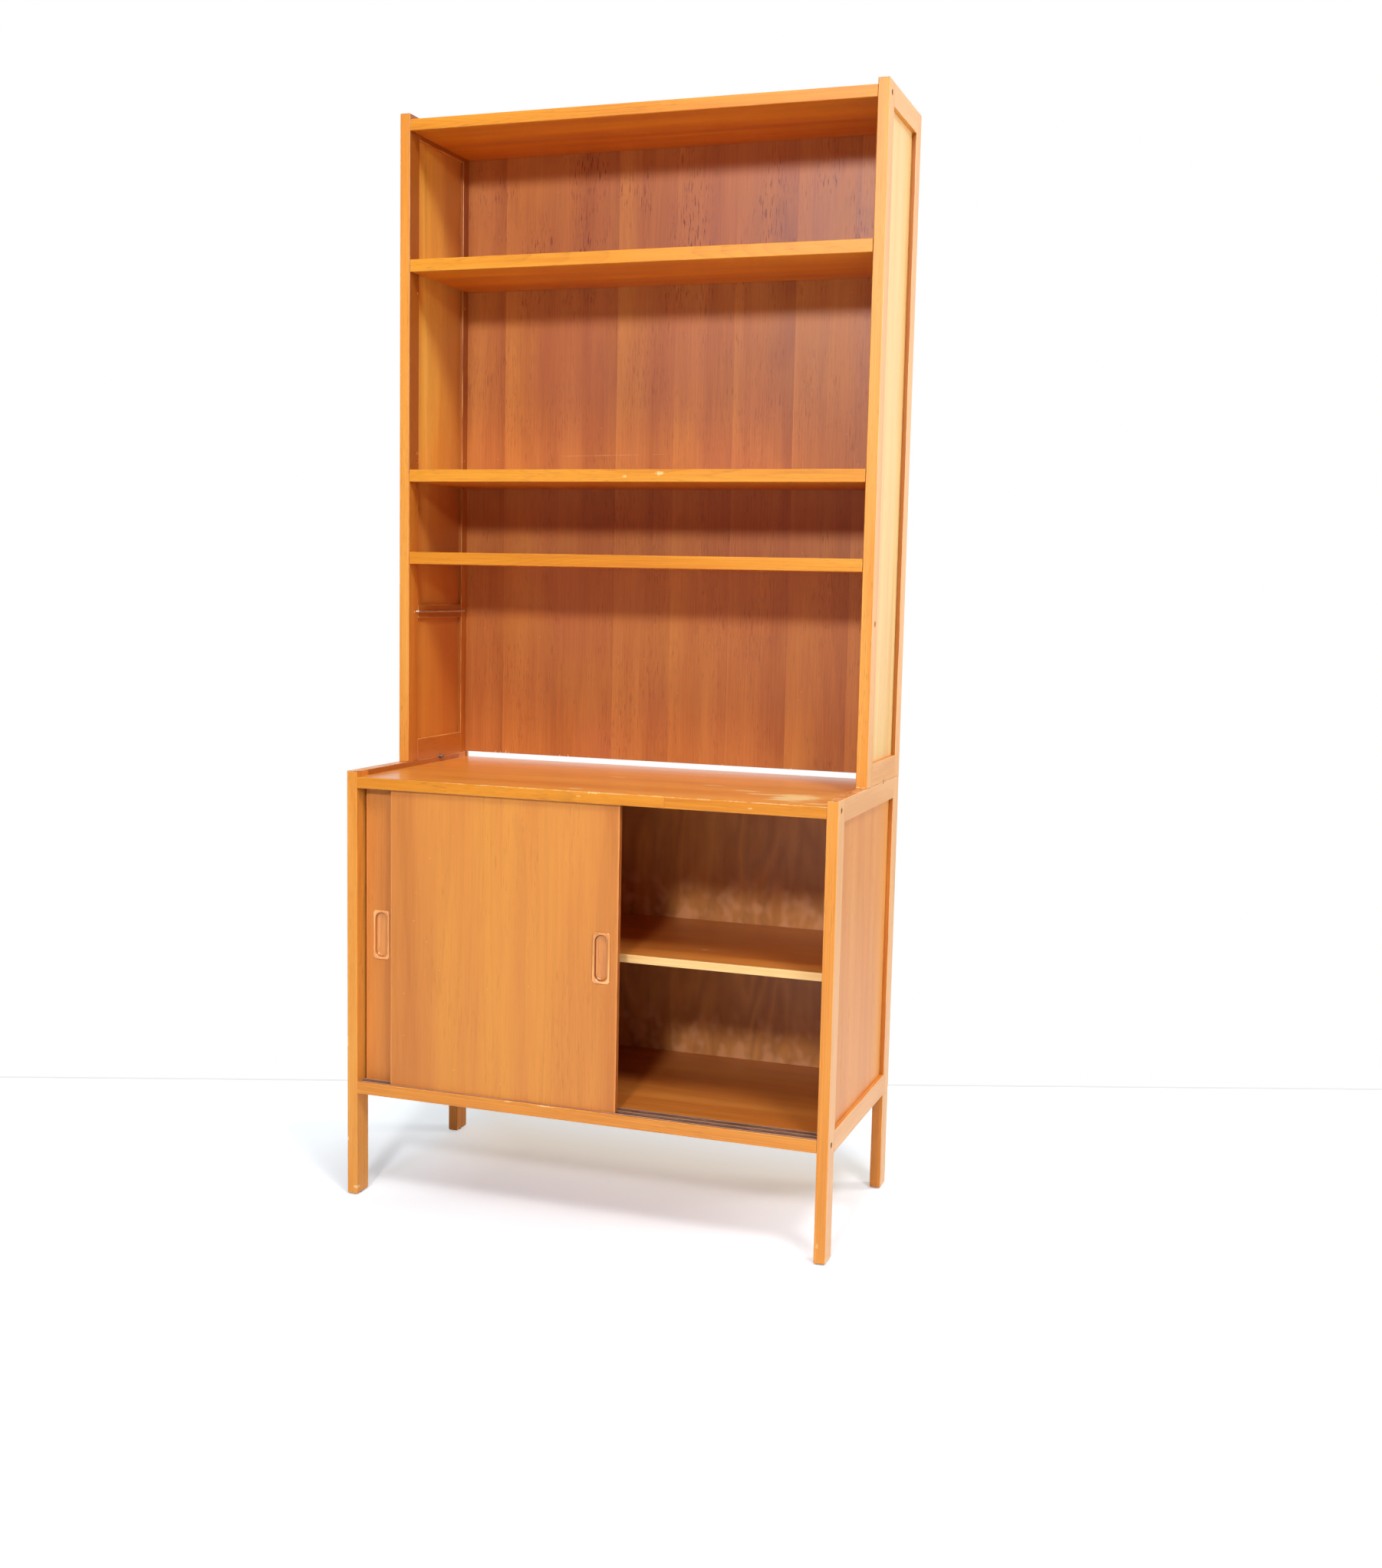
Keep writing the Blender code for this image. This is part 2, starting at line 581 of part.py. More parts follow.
def support_wires():
    """A pair of bent wires for each shelf, and the bare pair."""
    for level, z in WIRE_LEVELS:
        for side, hand in SIDES:
            name = f"{level}_wire_{side}"
            points = wire_path(hand, z)
            curve = bpy.data.curves.new(name, "CURVE")
            curve.dimensions = "3D"
            curve.bevel_depth = WIRE / 2
            curve.bevel_resolution = 2
            curve.use_fill_caps = True
            spline = curve.splines.new("POLY")
            spline.points.add(len(points) - 1)
            for spot, point in zip(spline.points, points):
                spot.co = (*point, 1.0)
            curve.materials.append(STEEL)
            wire = bpy.data.objects.new(name, curve)
            bpy.context.scene.collection.objects.link(wire)


def adjustable_shelf(name, up):
    """A shelf with a solid lipping and a slot in each end, which slides forward off its wires."""
    top = UPPER_FOOT + up
    middle = top - SHELF_THICK / 2
    z_span = (top - SHELF_THICK, top)
    end = INNER - SHELF_END_GAP
    back = UPPER_BACK_FRONT - SHELF_BACK_GAP
    carrier = slide_axis(f"{name}_shelf_slide", (0, UPPER_FRONT, middle))
    shape = block((-end, end), (UPPER_FRONT + SHELF_LIPPING + SEAT, back), z_span)
    board = make(f"{name}_shelf_board", shape, TEAK_VENEER, carrier)
    depth = SIDE_THICK + WIRE_STAND_OFF + WIRE / 2 + WIRE_PLAY
    front = WIRE_FRONT - WIRE / 2 - WIRE_SLOT_END
    half = WIRE / 2 + WIRE_PLAY
    slot_z = (middle - half, middle + half)
    slots = [
        block((inward(hand, SIDE_THICK - PAST), inward(hand, depth)), (front, back + PAST), slot_z)
        for side, hand in SIDES
    ]
    carve(board, "wire_slots", slots)
    lipping(f"{name}_shelf_lipping", end, UPPER_FRONT, SHELF_LIPPING, z_span, carrier)


# Door tracks and doors

def track(name, open_z, flat_z):
    """A strip with two grooves; open_z is the level of its rims and flat_z of its flat side."""
    toward = 1 if open_z > flat_z else -1
    bed = flat_z + toward * TRACK_FLOOR
    y = TRACK_FRONT
    outline = [(y, flat_z), (y, open_z)]
    for wall in (TRACK_RIM, TRACK_RIDGE):
        y += wall
        outline += [(y, open_z), (y, bed)]
        y += TRACK_GROOVE
        outline += [(y, bed), (y, open_z)]
    y += TRACK_RIM
    outline += [(y, open_z), (y, flat_z)]
    make(name, prism(outline, -BOARD_END, BOARD_END, 0), TRACK_BROWN)


def pull_outline(middle_x, half_width, half_height, radius):
    """An upright rounded oblong around the middle of a pull, as X and Z."""
    left, right = middle_x - half_width, middle_x + half_width
    low, high = PULL_ABOVE_FLOOR - half_height, PULL_ABOVE_FLOOR + half_height
    return rounded(((left, low), (right, low), (right, high), (left, high)), (radius,) * 4, PULL_STEPS)


def sliding_door(name, left, face, pull_at_left):
    """A veneered door and its inset wooden pull, which slide together."""
    axis_at = (left + DOOR_WIDTH / 2, face + DOOR_THICK / 2, DOOR_FOOT)
    carrier = slide_axis(f"{name}_door_slide", axis_at)
    shape = block((left, left + DOOR_WIDTH), (face, face + DOOR_THICK), (DOOR_FOOT, DOOR_HEAD))
    door = make(f"{name}_door_panel", shape, TEAK_VENEER, carrier)
    middle = left + PULL_FROM_EDGE if pull_at_left else left + DOOR_WIDTH - PULL_FROM_EDGE
    half_width, half_height = PULL_WIDTH / 2, PULL_HEIGHT / 2
    bottom = face + PULL_DEPTH
    outer = pull_outline(middle, half_width + SEAT, half_height + SEAT, PULL_CORNER)
    carve(door, "pull_pocket", [prism(outer, face - PAST, bottom + SEAT, 1)])
    outer = pull_outline(middle, half_width, half_height, PULL_CORNER)
    pull = make(f"{name}_door_pull", prism(outer, face - PULL_PROUD, bottom, 1), SOLID_TEAK, carrier)
    inner_half = half_width - PULL_RIM
    inner = pull_outline(middle, inner_half, half_height - PULL_END_RIM, inner_half - PULL_END_FLAT)
    carve(pull, "finger_hollow", [prism(inner, face - PULL_PROUD - PAST, bottom - PULL_FLOOR, 1)])


# Assembly

for side_name, side_hand in SIDES:
    upper_side(side_name, side_hand)
    base_side(side_name, side_hand)
    for board_name, bolt_place in BOLTS:
        make(f"{board_name}_bolt_{side_name}", bolt(side_hand, *bolt_place), DARK_STEEL)
    pin_start = (inward(side_hand, PIN_SUNK), PIN_Y, BASE_HEIGHT + SEAT / 2)
    pin_shape = rod(PIN / 2, pin_start, (-side_hand, 0, 0), SIDE_THICK + PIN_IN - PIN_SUNK)
    make(f"locating_pin_{side_name}", pin_shape, STEEL)
upper_board()
base_top()
base_bottom()
backs()
inner_shelf()
support_wires()
for shelf_name, shelf_up in SHELF_LEVELS:
    adjustable_shelf(shelf_name, shelf_up)
track("lower_door_track", BOTTOM_BOARD_TOP + TRACK_PROUD, LOWER_TRACK_FLOOR - TRACK_FLOOR)
track("upper_door_track", BASE_BOARD_UNDER, BASE_BOARD_UNDER + TRACK_FLOOR + UPPER_GROOVE)
sliding_door("front", -INNER + FRONT_DOOR_AT, FRONT_DOOR_FACE, False)
sliding_door("rear", -INNER + REAR_DOOR_AT, REAR_DOOR_FACE, True)
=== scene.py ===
import json
import math
import random

import bmesh
import bpy
from mathutils import Matrix, Vector

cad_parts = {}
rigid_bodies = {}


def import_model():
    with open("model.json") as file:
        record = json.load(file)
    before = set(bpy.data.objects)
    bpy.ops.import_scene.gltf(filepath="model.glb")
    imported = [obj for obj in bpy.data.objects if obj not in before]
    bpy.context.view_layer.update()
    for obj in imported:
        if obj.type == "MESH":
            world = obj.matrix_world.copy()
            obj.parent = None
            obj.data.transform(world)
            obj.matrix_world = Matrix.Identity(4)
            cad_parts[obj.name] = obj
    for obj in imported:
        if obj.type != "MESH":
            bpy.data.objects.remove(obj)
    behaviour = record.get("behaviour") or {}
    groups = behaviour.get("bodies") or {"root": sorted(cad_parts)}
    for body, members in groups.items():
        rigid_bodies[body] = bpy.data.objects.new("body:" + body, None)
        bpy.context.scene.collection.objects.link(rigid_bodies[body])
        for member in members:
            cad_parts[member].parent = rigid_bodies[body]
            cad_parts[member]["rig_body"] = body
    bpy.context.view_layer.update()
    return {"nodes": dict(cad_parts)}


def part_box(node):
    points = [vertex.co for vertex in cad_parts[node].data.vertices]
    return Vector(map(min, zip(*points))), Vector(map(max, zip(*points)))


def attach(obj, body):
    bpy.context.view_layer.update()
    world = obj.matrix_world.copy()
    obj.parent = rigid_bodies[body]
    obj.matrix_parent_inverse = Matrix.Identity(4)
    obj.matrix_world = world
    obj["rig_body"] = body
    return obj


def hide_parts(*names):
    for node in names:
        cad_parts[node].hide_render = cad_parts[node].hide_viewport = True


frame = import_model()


# Side frames of the base cabinet.
# Two square legs a side, joined by a rail at the top and one at the bottom, in solid oiled teak.
# The rails are tenoned into the legs and all faces are sanded flush, so that only a hairline shows.

def paint(red, green, blue):
    """A colour off a paint chart, 0 to 255, as the linear values that the shaders take."""
    parts = (value / 255 for value in (red, green, blue))
    return tuple(p / 12.92 if p < .04045 else ((p + .055) / 1.055) ** 2.4 for p in parts) + (1,)


def dimmed(colour, *shares):
    """A colour with only a share of its red, green and blue."""
    return tuple(value * share for value, share in zip(colour, (*shares, 1)))


class Flow:
    """What a shader node puts out over the surface. It adds up and multiplies as a number does."""

    def __init__(self, tree, node, output=0):
        self.tree, self.node, self.socket = tree, node, node.outputs[output]

    def __getitem__(self, output):
        return Flow(self.tree, self.node, output)

    def __add__(self, other):
        return sums("ADD", self, other)

    def __sub__(self, other):
        return sums("SUBTRACT", self, other)

    def __mul__(self, other):
        return sums("MULTIPLY", self, other)

    def __truediv__(self, other):
        return sums("DIVIDE", self, other)

    def __abs__(self):
        return sums("ABSOLUTE", self)

    def spread(self, low, high, to_low=0., to_high=1.):
        """Stretched from low..high to to_low..to_high, and held there."""
        return add(self.tree, "MapRange", enumerate((self, low, high, to_low, to_high)))

    def mix(self, first, second):
        """Two colours mixed: all of the second where this is 1."""
        return add(self.tree, "Mix", {0: self, 6: first, 7: second}, data_type="RGBA")[2]

    def vector(self, operation, other=(0, 0, 0)):
        """A Vector Math node's result."""
        return add(self.tree, "VectorMath", {0: self, 1: other}, operation=operation)

    def part(self, axis):
        """How far a place lies along X, Y or Z."""
        return add(self.tree, "SeparateXYZ", {0: self})[axis]

    def noise(self, stretch, detail=2., rough=.5):
        """Noise from about .3 to .7 at this place, which is stretched first."""
        return add(self.tree, "TexNoise", {"Vector": self.vector("MULTIPLY", stretch), "Scale": 1.,
                                           "Detail": detail, "Roughness": rough})


def feed(tree, node, inputs):
    """Joins or writes what goes into a node."""
    for socket, value in dict(inputs).items():
        if isinstance(value, Flow):
            tree.links.new(value.socket, node.inputs[socket])
        else:
            node.inputs[socket].default_value = value


def add(tree, kind, inputs=(), **settings):
    """A new shader node with its settings and inputs, as what it puts out."""
    node = tree.nodes.new("ShaderNode" + kind)
    for word, value in settings.items():
        setattr(node, word, value)
    feed(tree, node, inputs)
    return Flow(tree, node)


def sums(operation, *values, clamp=False):
    """A Math node's result."""
    tree = next(value.tree for value in values if isinstance(value, Flow))
    return add(tree, "Math", enumerate(values), operation=operation, use_clamp=clamp)


def new_effect(name, takes, gives):
    """An empty shader group with named sockets, what it is given, and its end node."""
    tree = bpy.data.node_groups.new(name, "ShaderNodeTree")
    for label, value in takes.items():
        kind = "NodeSocketVector" if isinstance(value, tuple) else "NodeSocketFloat"
        tree.interface.new_socket(label, in_out="INPUT", socket_type=kind).default_value = value
    for label in gives:
        tree.interface.new_socket(label, in_out="OUTPUT", socket_type="NodeSocketFloat")
    return tree, Flow(tree, tree.nodes.new("NodeGroupInput")), tree.nodes.new("NodeGroupOutput")


def teak_grain_effect():
    """Growth rings, fine streaks and open pores of a board, or of veneer leaves laid side by side.

    Place is wide, thick and long across the board, in metres. Leaf Width is how wide each leaf of
    veneer is: it is large on solid wood, so that the whole board is one leaf.
    """
    tree, given, out = new_effect(
        "teak grain",
        {"Place": (0, 0, 0), "Ring Width": .004, "Heart": .05, "Leaf Width": 9., "Leaf Shift": 0.,
         "Mirrored": 0., "Fleck Amount": .5},
        ["Tone", "Line", "Fleck", "Leaf", "Side", "Height"])
    across, thick, along = (given["Place"].part(axis) for axis in "XYZ")
    leaves = (across + given["Leaf Shift"]) / given["Leaf Width"]
    number = sums("FLOOR", leaves)
    chance = add(tree, "TexWhiteNoise", {"W": number + 7.3}, noise_dimensions="1D")
    side = add(tree, "Mix", {0: given["Mirrored"], 2: sums("FRACT", leaves),
                             3: sums("PINGPONG", leaves, 1.)})
    wide = number * .37 + side * given["Leaf Width"]
    place = add(tree, "CombineXYZ", {0: wide, 1: thick, 2: along + chance * 1.9})

    # The rings lie round a heart that wanders along the board, which draws the flame figure. The
    # place across folds back and forth, so that each board has a heart somewhere.
    wander = place.noise((0, 0, .9), 1).spread(.3, .7, -1., 1.)
    sway = place.noise((7, 7, 1.1), 2) - .5
    folded = sums("PINGPONG", wide, .11)
    from_heart = add(tree, "CombineXYZ", {0: sway * .05 + (folded - .02), 1: thick + .03,
                                          2: wander * given["Heart"] + given["Heart"]})
    ripple = place.noise((60, 60, 3), 2) * .0022
    saw = sums("FRACT", (from_heart.vector("LENGTH")["Value"] + ripple) / given["Ring Width"])
    line = sums("POWER", saw, 3.) * saw.spread(.93, 1., 1., 0.)
    line = line * place.noise((30, 30, 2.2)).spread(.35, .65, .25, 1.)

    broad = place.noise((18, 18, 1.3), 3).spread(.32, .68)
    streak = place.noise((420, 420, 7), 3, .65).spread(.28, .72)
    pores = place.noise((640, 640, 38), 1).spread(.60, .68)
    patches = place.noise((22, 22, 5.5), 2).spread(.46, .62) * given["Fleck Amount"]
    fleck = sums("MULTIPLY", pores, patches + given["Fleck Amount"] * .25, clamp=True)
    feed(tree, out, {"Tone": broad * .6 + streak * .4, "Line": line, "Fleck": fleck, "Leaf": chance,
                     "Side": side, "Height": streak * .35 - (fleck + line * .3)})
    return tree


def worn_edge_effect():
    """Where an eased arris has been rubbed pale, in uneven runs, and where it is still sound. The
    pale runs are partly wear and partly painted highlight.
    """
    tree, given, out = new_effect("worn edge", {"Place": (0, 0, 0), "Amount": .5}, ["Worn"])
    arris = add(tree, "Attribute", attribute_name="arris")["Fac"]
    runs = given["Place"].noise((40, 40, 14), 3).spread(.36, .6)
    feed(tree, out, {"Worn": arris * runs * given["Amount"]})
    return tree


def speck_effect():
    """Small knocks that show as pale specks, scattered thinly over a flat face."""
    tree, given, out = new_effect("pale specks", {"Spacing": .03, "Size": .05}, ["Speck"])
    cells = add(tree, "TexVoronoi", {"Vector": add(tree, "TexCoord")["Object"],
                                     "Scale": sums("DIVIDE", 1., given["Spacing"])})
    chosen = cells["Color"].part("X").spread(.62, .64)
    near = cells["Distance"].spread(given["Size"], given["Size"] * .6)
    feed(tree, out, {"Speck": near * chosen})
    return tree


teak_grain, worn_edge_and_highlight, pale_specks = teak_grain_effect(), worn_edge_effect(), speck_effect()


def use_effect(tree, effect, **values):
    """A group placed in a material with its own values, its sockets named with underscores."""
    node = tree.nodes.new("ShaderNodeGroup")
    node.node_tree = effect
    feed(tree, node, {word.replace("_", " "): value for word, value in values.items()})
    return Flow(tree, node)


def relief(tree, height, distance, strength):
    """The small roughness that only the light shows."""
    return add(tree, "Bump", {"Height": height, "Distance": distance, "Strength": strength})


def new_finish(name):
    """A plain material, its nodes and its shader."""
    material = bpy.data.materials.new(name)
    material.use_nodes = True
    tree = material.node_tree
    return material, tree, tree.nodes["Principled BSDF"]


def teak(name, dark, middle, light, ring=.0045, heart=.05, lines=.3, flecks=.4, leaf=9., shift=4.5,
         mirrored=0., figure=0., leaf_range=0., worn=.5, rough=.42, coat=.12, coat_rough=.3,
         bump=.25, specks=0., sheen_paint=None, extra=None):
    """Oiled teak. The three colours are the streaks' darkest, usual and lightest."""
    material, tree, shader = new_finish(name)
    dark, middle, light = paint(*dark), paint(*middle), paint(*light)
    place = add(tree, "Attribute", attribute_name="grain")["Vector"]
    shade = add(tree, "Attribute", attribute_name="shade")["Fac"]
    grain = use_effect(tree, teak_grain, Place=place, Ring_Width=ring, Heart=heart, Leaf_Width=leaf,
                       Leaf_Shift=shift, Mirrored=mirrored, Fleck_Amount=flecks)
    tone = grain["Tone"] + shade * .35
    if leaf_range:
        tone += (grain["Leaf"] - .5) * leaf_range
    if figure:
        tone += grain["Side"].spread(0., 1., figure, -figure)
    colour = tone.spread(0., .5).mix(dark, middle)
    colour = tone.spread(.5, 1.).mix(colour, light)
    colour = (grain["Line"] * lines).mix(colour, dimmed(dark, .45, .45, .45))
    colour = (grain["Fleck"] * .65).mix(colour, dimmed(dark, .45, .4, .5))

    # Faces with a shade over 1 take a painted sheen, and those under -1 a painted shade.
    pale = tuple(min(1, value * 1.15 + .09) for value in light[:3]) + (1,)
    sheen_colour = paint(*sheen_paint) if sheen_paint else pale
    sheen_colour = grain["Tone"].spread(.25, .6).mix(dimmed(sheen_colour, .9, .8, .7), sheen_colour)
    colour = shade.spread(1., 2.).mix(colour, sheen_colour)
    colour = shade.spread(-1., -2., 0., .75).mix(colour, dimmed(dark, .3, .26, .4))
    colour = use_effect(tree, worn_edge_and_highlight, Place=place, Amount=worn)["Worn"].mix(colour, pale)
    if specks:
        marks = use_effect(tree, pale_specks, Spacing=.024, Size=.06)
        colour = (marks["Speck"] * specks).mix(colour, pale)
    if extra:
        colour = extra(tree, colour)
    dull = (grain["Tone"] - .5) * .12 + (grain["Fleck"] * .25 + rough)
    feed(tree, shader, {"Base Color": colour, "Roughness": dull, "Coat Weight": coat,
                        "Coat Roughness": coat_rough,
                        "Normal": relief(tree, grain["Height"], .0002, bump)})
    return material


def marked(colour, here, ragged, whole, marks, pale):
    """Ragged oval marks, each (middle, half sizes, share), with a full core as large as whole."""
    for middle, halves, share in marks:
        oval = here.vector("SUBTRACT", middle).vector("MULTIPLY", [1 / half for half in halves])
        mask = (ragged + oval.vector("LENGTH")["Value"]).spread(1.1, whole)
        colour = (mask * share).mix(colour, pale)
    return colour


def nicks(tree, colour):
    """The knocks on the front edges and near the legs' ends, and the legs darker at the very foot.
    """
    here = add(tree, "TexCoord")["Object"]
    height = here.part("Z")
    ragged = here.noise((260, 260, 260), 3, .7) - .5
    knocks = [((x, y, z), (wide, .0125, tall), share) for x, y, z, wide, tall, share in (
        (.061, -.03, 1.311, .007, .003, .7), (-.004, -.03, 1.306, .004, .002, .6),
        (.021, -.22, .7665, .012, .0014, .7), (-.004, -.22, .7595, .005, .0012, .35),
        (.30, -.22, .757, .006, .0014, .5), (-.449, -.22, .105, .002, .007, .8),
        (-.431, -.22, .016, .006, .003, .7), (-.449, -.22, .285, .0015, .010, .6),
        (.4355, -.22, .034, .0022, .005, .4), (-.06, -.22, .2118, .016, .0010, .8),
        (-.13, -.22, .2122, .007, .0008, .8), (.4345, -.03, .7795, .003, .0016, .8),
        (.4425, -.03, .7790, .004, .0012, .8))]
    colour = marked(colour, here, ragged * 3., .6, knocks, paint(252, 216, 150))
    # The lowest few millimetres of each leg are darker.
    darker_foot = (ragged * -.02 + height).spread(.0045, .0015)
    colour = (darker_foot * .6).mix(colour, paint(120, 70, 34))

    # The tops of the base's side frames are scuffed where the upper part has been set down.
    on_top = height.spread(.7766, .7774) * height.spread(.7782, .7780)
    for lowest, stretch, scuff in ((.5, (90, 30, 1), paint(246, 190, 156)),
                                   (.56, (150, 40, 1), paint(170, 80, 44))):
        where = here.noise(stretch, 3, .65).spread(lowest, lowest + .08, 0., .6)
        colour = (on_top * where).mix(colour, scuff)
    return colour


solid_teak = teak("oiled solid teak", (208, 120, 36), (231, 146, 50), (243, 168, 74), lines=.25,
                  flecks=.35, worn=.8, coat=.15, coat_rough=.25, sheen_paint=(253, 199, 148),
                  extra=nicks)


def placed(name, data, *finishes):
    """A new object at the origin, with its finishes."""
    if finishes:
        data.materials.clear()
        for finish in finishes:
            data.materials.append(finish)
    piece = bpy.data.objects.new(name, data)
    bpy.context.scene.collection.objects.link(piece)
    return piece


def closed(shell, name):
    """A shell as a mesh, with its faces turned outwards."""
    bmesh.ops.recalc_face_normals(shell, faces=shell.faces)
    mesh = bpy.data.meshes.new(name)
    shell.to_mesh(mesh)
    shell.free()
    return mesh


def write_points(mesh, name, vectors):
    """A vector at each point, which nodes read by its name."""
    attribute = mesh.attributes.new(name, "FLOAT_VECTOR", "POINT")
    attribute.data.foreach_set("vector", [number for vector in vectors for number in vector])


def write_faces(mesh, name, values):
    """A value on each face, which nodes read by its name."""
    mesh.attributes.new(name, "FLOAT", "FACE").data.foreach_set("value", values)


def made_plain(piece):
    """What an object's modifiers make of its mesh, in place of the object."""
    graph = bpy.context.evaluated_depsgraph_get()
    mesh = bpy.data.meshes.new_from_object(piece.evaluated_get(graph))
    piece.modifiers.clear()
    bpy.data.objects.remove(piece)
    return mesh


def cut(shell, axis, at, side=1, take_off=False):
    """Parts the faces at a plane across an axis, and can take off what lies past its side."""
    way = Vector([float(letter == axis) for letter in "xyz"])
    bmesh.ops.bisect_plane(shell, geom=[*shell.verts, *shell.edges, *shell.faces],
                           plane_co=way * at, plane_no=way * side, clear_outer=take_off)


def wooden(node, grain, finish, name=None, joined="", ease=.0009, cuts=(), edging=None, keep=None,
           second=None, seed=None, lift=None, shade=None, rub=1.):
    """A clean copy of a CAD piece, with eased arrises and its own grain.

    grain is the piece's wide, thick and long way, as in "yxz" for an upright. joined names the
    outer faces that meet another piece and so stay sharp, as in "-y+y". cuts are planes, as
    ("x", .1), that part the faces, and edging(centre) tells which faces take the second finish.
    keep is (axis, low, high): only that stretch of the piece is made. shade is how much lighter
    or darker the piece is than others, or shade(centre, normal) gives that of each face: from 1
    to 2 it takes more painted sheen, and from -1 to -2 more painted shade. rub is how pale its
    arrises are painted, as wear and as painted highlight.
    """
    name = name or node + "_wood"
    same_place, barely_eased, sharp = 1e-5, .0002, math.radians(25)
    shell = bmesh.new()
    shell.from_mesh(frame["nodes"][node].data)
    bmesh.ops.remove_doubles(shell, verts=shell.verts, dist=same_place)
    bmesh.ops.dissolve_limit(shell, angle_limit=math.radians(1), verts=shell.verts,
                             edges=shell.edges)
    if keep:
        axis, low, high = keep
        cut(shell, axis, low, -1, take_off=True)
        cut(shell, axis, high, 1, take_off=True)
        bmesh.ops.holes_fill(shell, edges=[edge for edge in shell.edges if edge.is_boundary])
    for axis, at in cuts:
        cut(shell, axis, at)
    if lift:
        for vert in shell.verts:
            if vert.co.z < lift:
                vert.co.z += lift
    bmesh.ops.recalc_face_normals(shell, faces=shell.faces)
    low = [min(vert.co[i] for vert in shell.verts) for i in range(3)]
    high = [max(vert.co[i] for vert in shell.verts) for i in range(3)]
    weight = shell.edges.layers.float.new("bevel_weight_edge")
    for edge in shell.edges:
        if not edge.is_manifold or edge.calc_face_angle(0) < sharp:
            continue
        outer = [sign + "xyz"[i] for i in range(3) for sign, at in (("-", low[i]), ("+", high[i]))
                 if all(abs(vert.co[i] - at) < same_place for vert in edge.verts)]
        free = len(outer) == 2 and not any(face in joined for face in outer)
        edge[weight] = 1 if free else barely_eased / ease
    rough_piece = placed(name + "_rough", closed(shell, name), finish, second or finish)
    easing = rough_piece.modifiers.new("eased", "BEVEL")
    easing.limit_method = "WEIGHT"
    easing.width = ease
    easing.segments = 2
    easing.use_clamp_overlap = False
    easing.material = 1
    mesh = made_plain(rough_piece)
    mesh.name = name
    for vert in mesh.vertices:
        vert.co = [min(max(vert.co[i], low[i]), high[i]) for i in range(3)]

    dice = random.Random(seed or name)
    slip = Vector((dice.uniform(0, .4), dice.uniform(0, .05), dice.uniform(0, 9)))
    if "veneer" in finish.name:
        slip.x = 0
    order = ["xyz".index(letter) for letter in grain]
    write_points(mesh, "grain", [Vector([vert.co[i] for i in order]) + slip
                                 for vert in mesh.vertices])
    own_shade = dice.uniform(-.3, .3) if shade is None else shade
    write_faces(mesh, "shade", [own_shade(face.center, face.normal) if callable(shade)
                                else own_shade for face in mesh.polygons])
    write_faces(mesh, "arris", [rub * face.material_index for face in mesh.polygons])
    for face in mesh.polygons:
        face.material_index = int(bool(edging) and edging(face.center))
    if not second:
        mesh.materials.pop()
    return placed(name, mesh)


def fitted(piece, slot, *nodes):
    """The piece rides on the body of the CAD nodes that it stands for, and they are hidden. Its
    slot is not used.
    """
    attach(piece, frame["nodes"][nodes[0]]["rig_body"])
    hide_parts(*nodes)


def timber(slot, node, grain, finish, **wishes):
    """A wooden piece that stands for one CAD node."""
    fitted(wooden(node, grain, finish, **wishes), slot, node)


glide_height = .0022
below_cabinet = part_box("base_bottom_board")[0].z
inner_side, outer_side, base_height = .431, .4495, .778


def sheen_and_step_shade(at, normal):
    """Painted sheen makes the outer faces of the sides paler than the rest, and painted shade
    makes the steps behind them darker.
    """
    if abs(at.x) > outer_side and abs(normal.x) > .7:
        return 1.5 if at.z > base_height else 1.75
    return -1.25 if normal.y < -.6 and at.y > .1 and at.z > below_cabinet else .25


def shaded_inside(at, normal):
    """The inner faces of the base rails are darker with painted shade, which shows over the base
    top.
    """
    return -1.4 if abs(at.x) < inner_side else sheen_and_step_shade(at, normal)


for side in ("left", "right"):
    for end in ("front", "back"):
        timber("solid_teak", f"base_{side}_{end}_leg", "yxz", solid_teak, ease=.0011,
               lift=glide_height, shade=sheen_and_step_shade,
               cuts=[("z", below_cabinet)] if end == "back" else ())
    for place in ("top", "bottom"):
        timber("solid_teak", f"base_{side}_{place}_rail", "zxy", solid_teak, joined="-y+y",
               shade=shaded_inside)
    timber("solid_teak", f"base_{side}_shelf_bearer", "zxy", solid_teak)


# Panels in the side frames.
# Thin panels in the grooves of the frames, faced on both sides with teak veneer, grain upright.
# The base has a rosier leaf and the upper bookcase a yellower one, as each was veneered apart.

def golden_rear(tree, colour):
    """The panel is more golden towards the back leg."""
    here = add(tree, "TexCoord")["Object"]
    ragged = here.noise((30, 30, 2), 3) - .5
    golden = (ragged * .1 + here.part("Y")).spread(.09, .16, 0., .6)
    return golden.mix(colour, paint(244, 170, 82))


base_side_veneer = teak("rosy teak veneer on the base sides", (218, 131, 66), (236, 153, 80),
                        (244, 170, 97), heart=.03, lines=.14, flecks=.3, leaf=.13, shift=.04,
                        leaf_range=.1, specks=.5, coat=.22, coat_rough=.22, extra=golden_rear)
for side in ("left", "right"):
    timber("teak_veneer", f"base_{side}_panel", "yxz", base_side_veneer, shade=0)


# Boards of the base cabinet.
# Chipboard faced with teak veneer, grain from side to side. A thin solid lipping closes each front
# edge. Bolts through the legs pull the boards tight between the two side frames.

def rubbed_patch(tree, colour):
    """The pale rubbed places and the short scratches on top of the base."""
    here = add(tree, "TexCoord")["Object"]
    ragged = (here.noise((26, 60, 1), 4, .6) - .5) * 2.6
    rubs = [((x, y, .768), (wide, deep, 1 / 60), share) for x, y, wide, deep, share in (
        (.3535, -.135, .038, .050, 1.), (.295, -.110, .036, .009, .8),
        (.176, -.026, .028, .006, .8), (.245, -.075, .024, .008, .7),
        (-.021, .012, .014, .004, .7), (-.02, -.19, .012, .004, .9), (.41, -.19, .024, .009, .8))]
    return marked(colour, here, ragged, .7, rubs, paint(255, 222, 152))


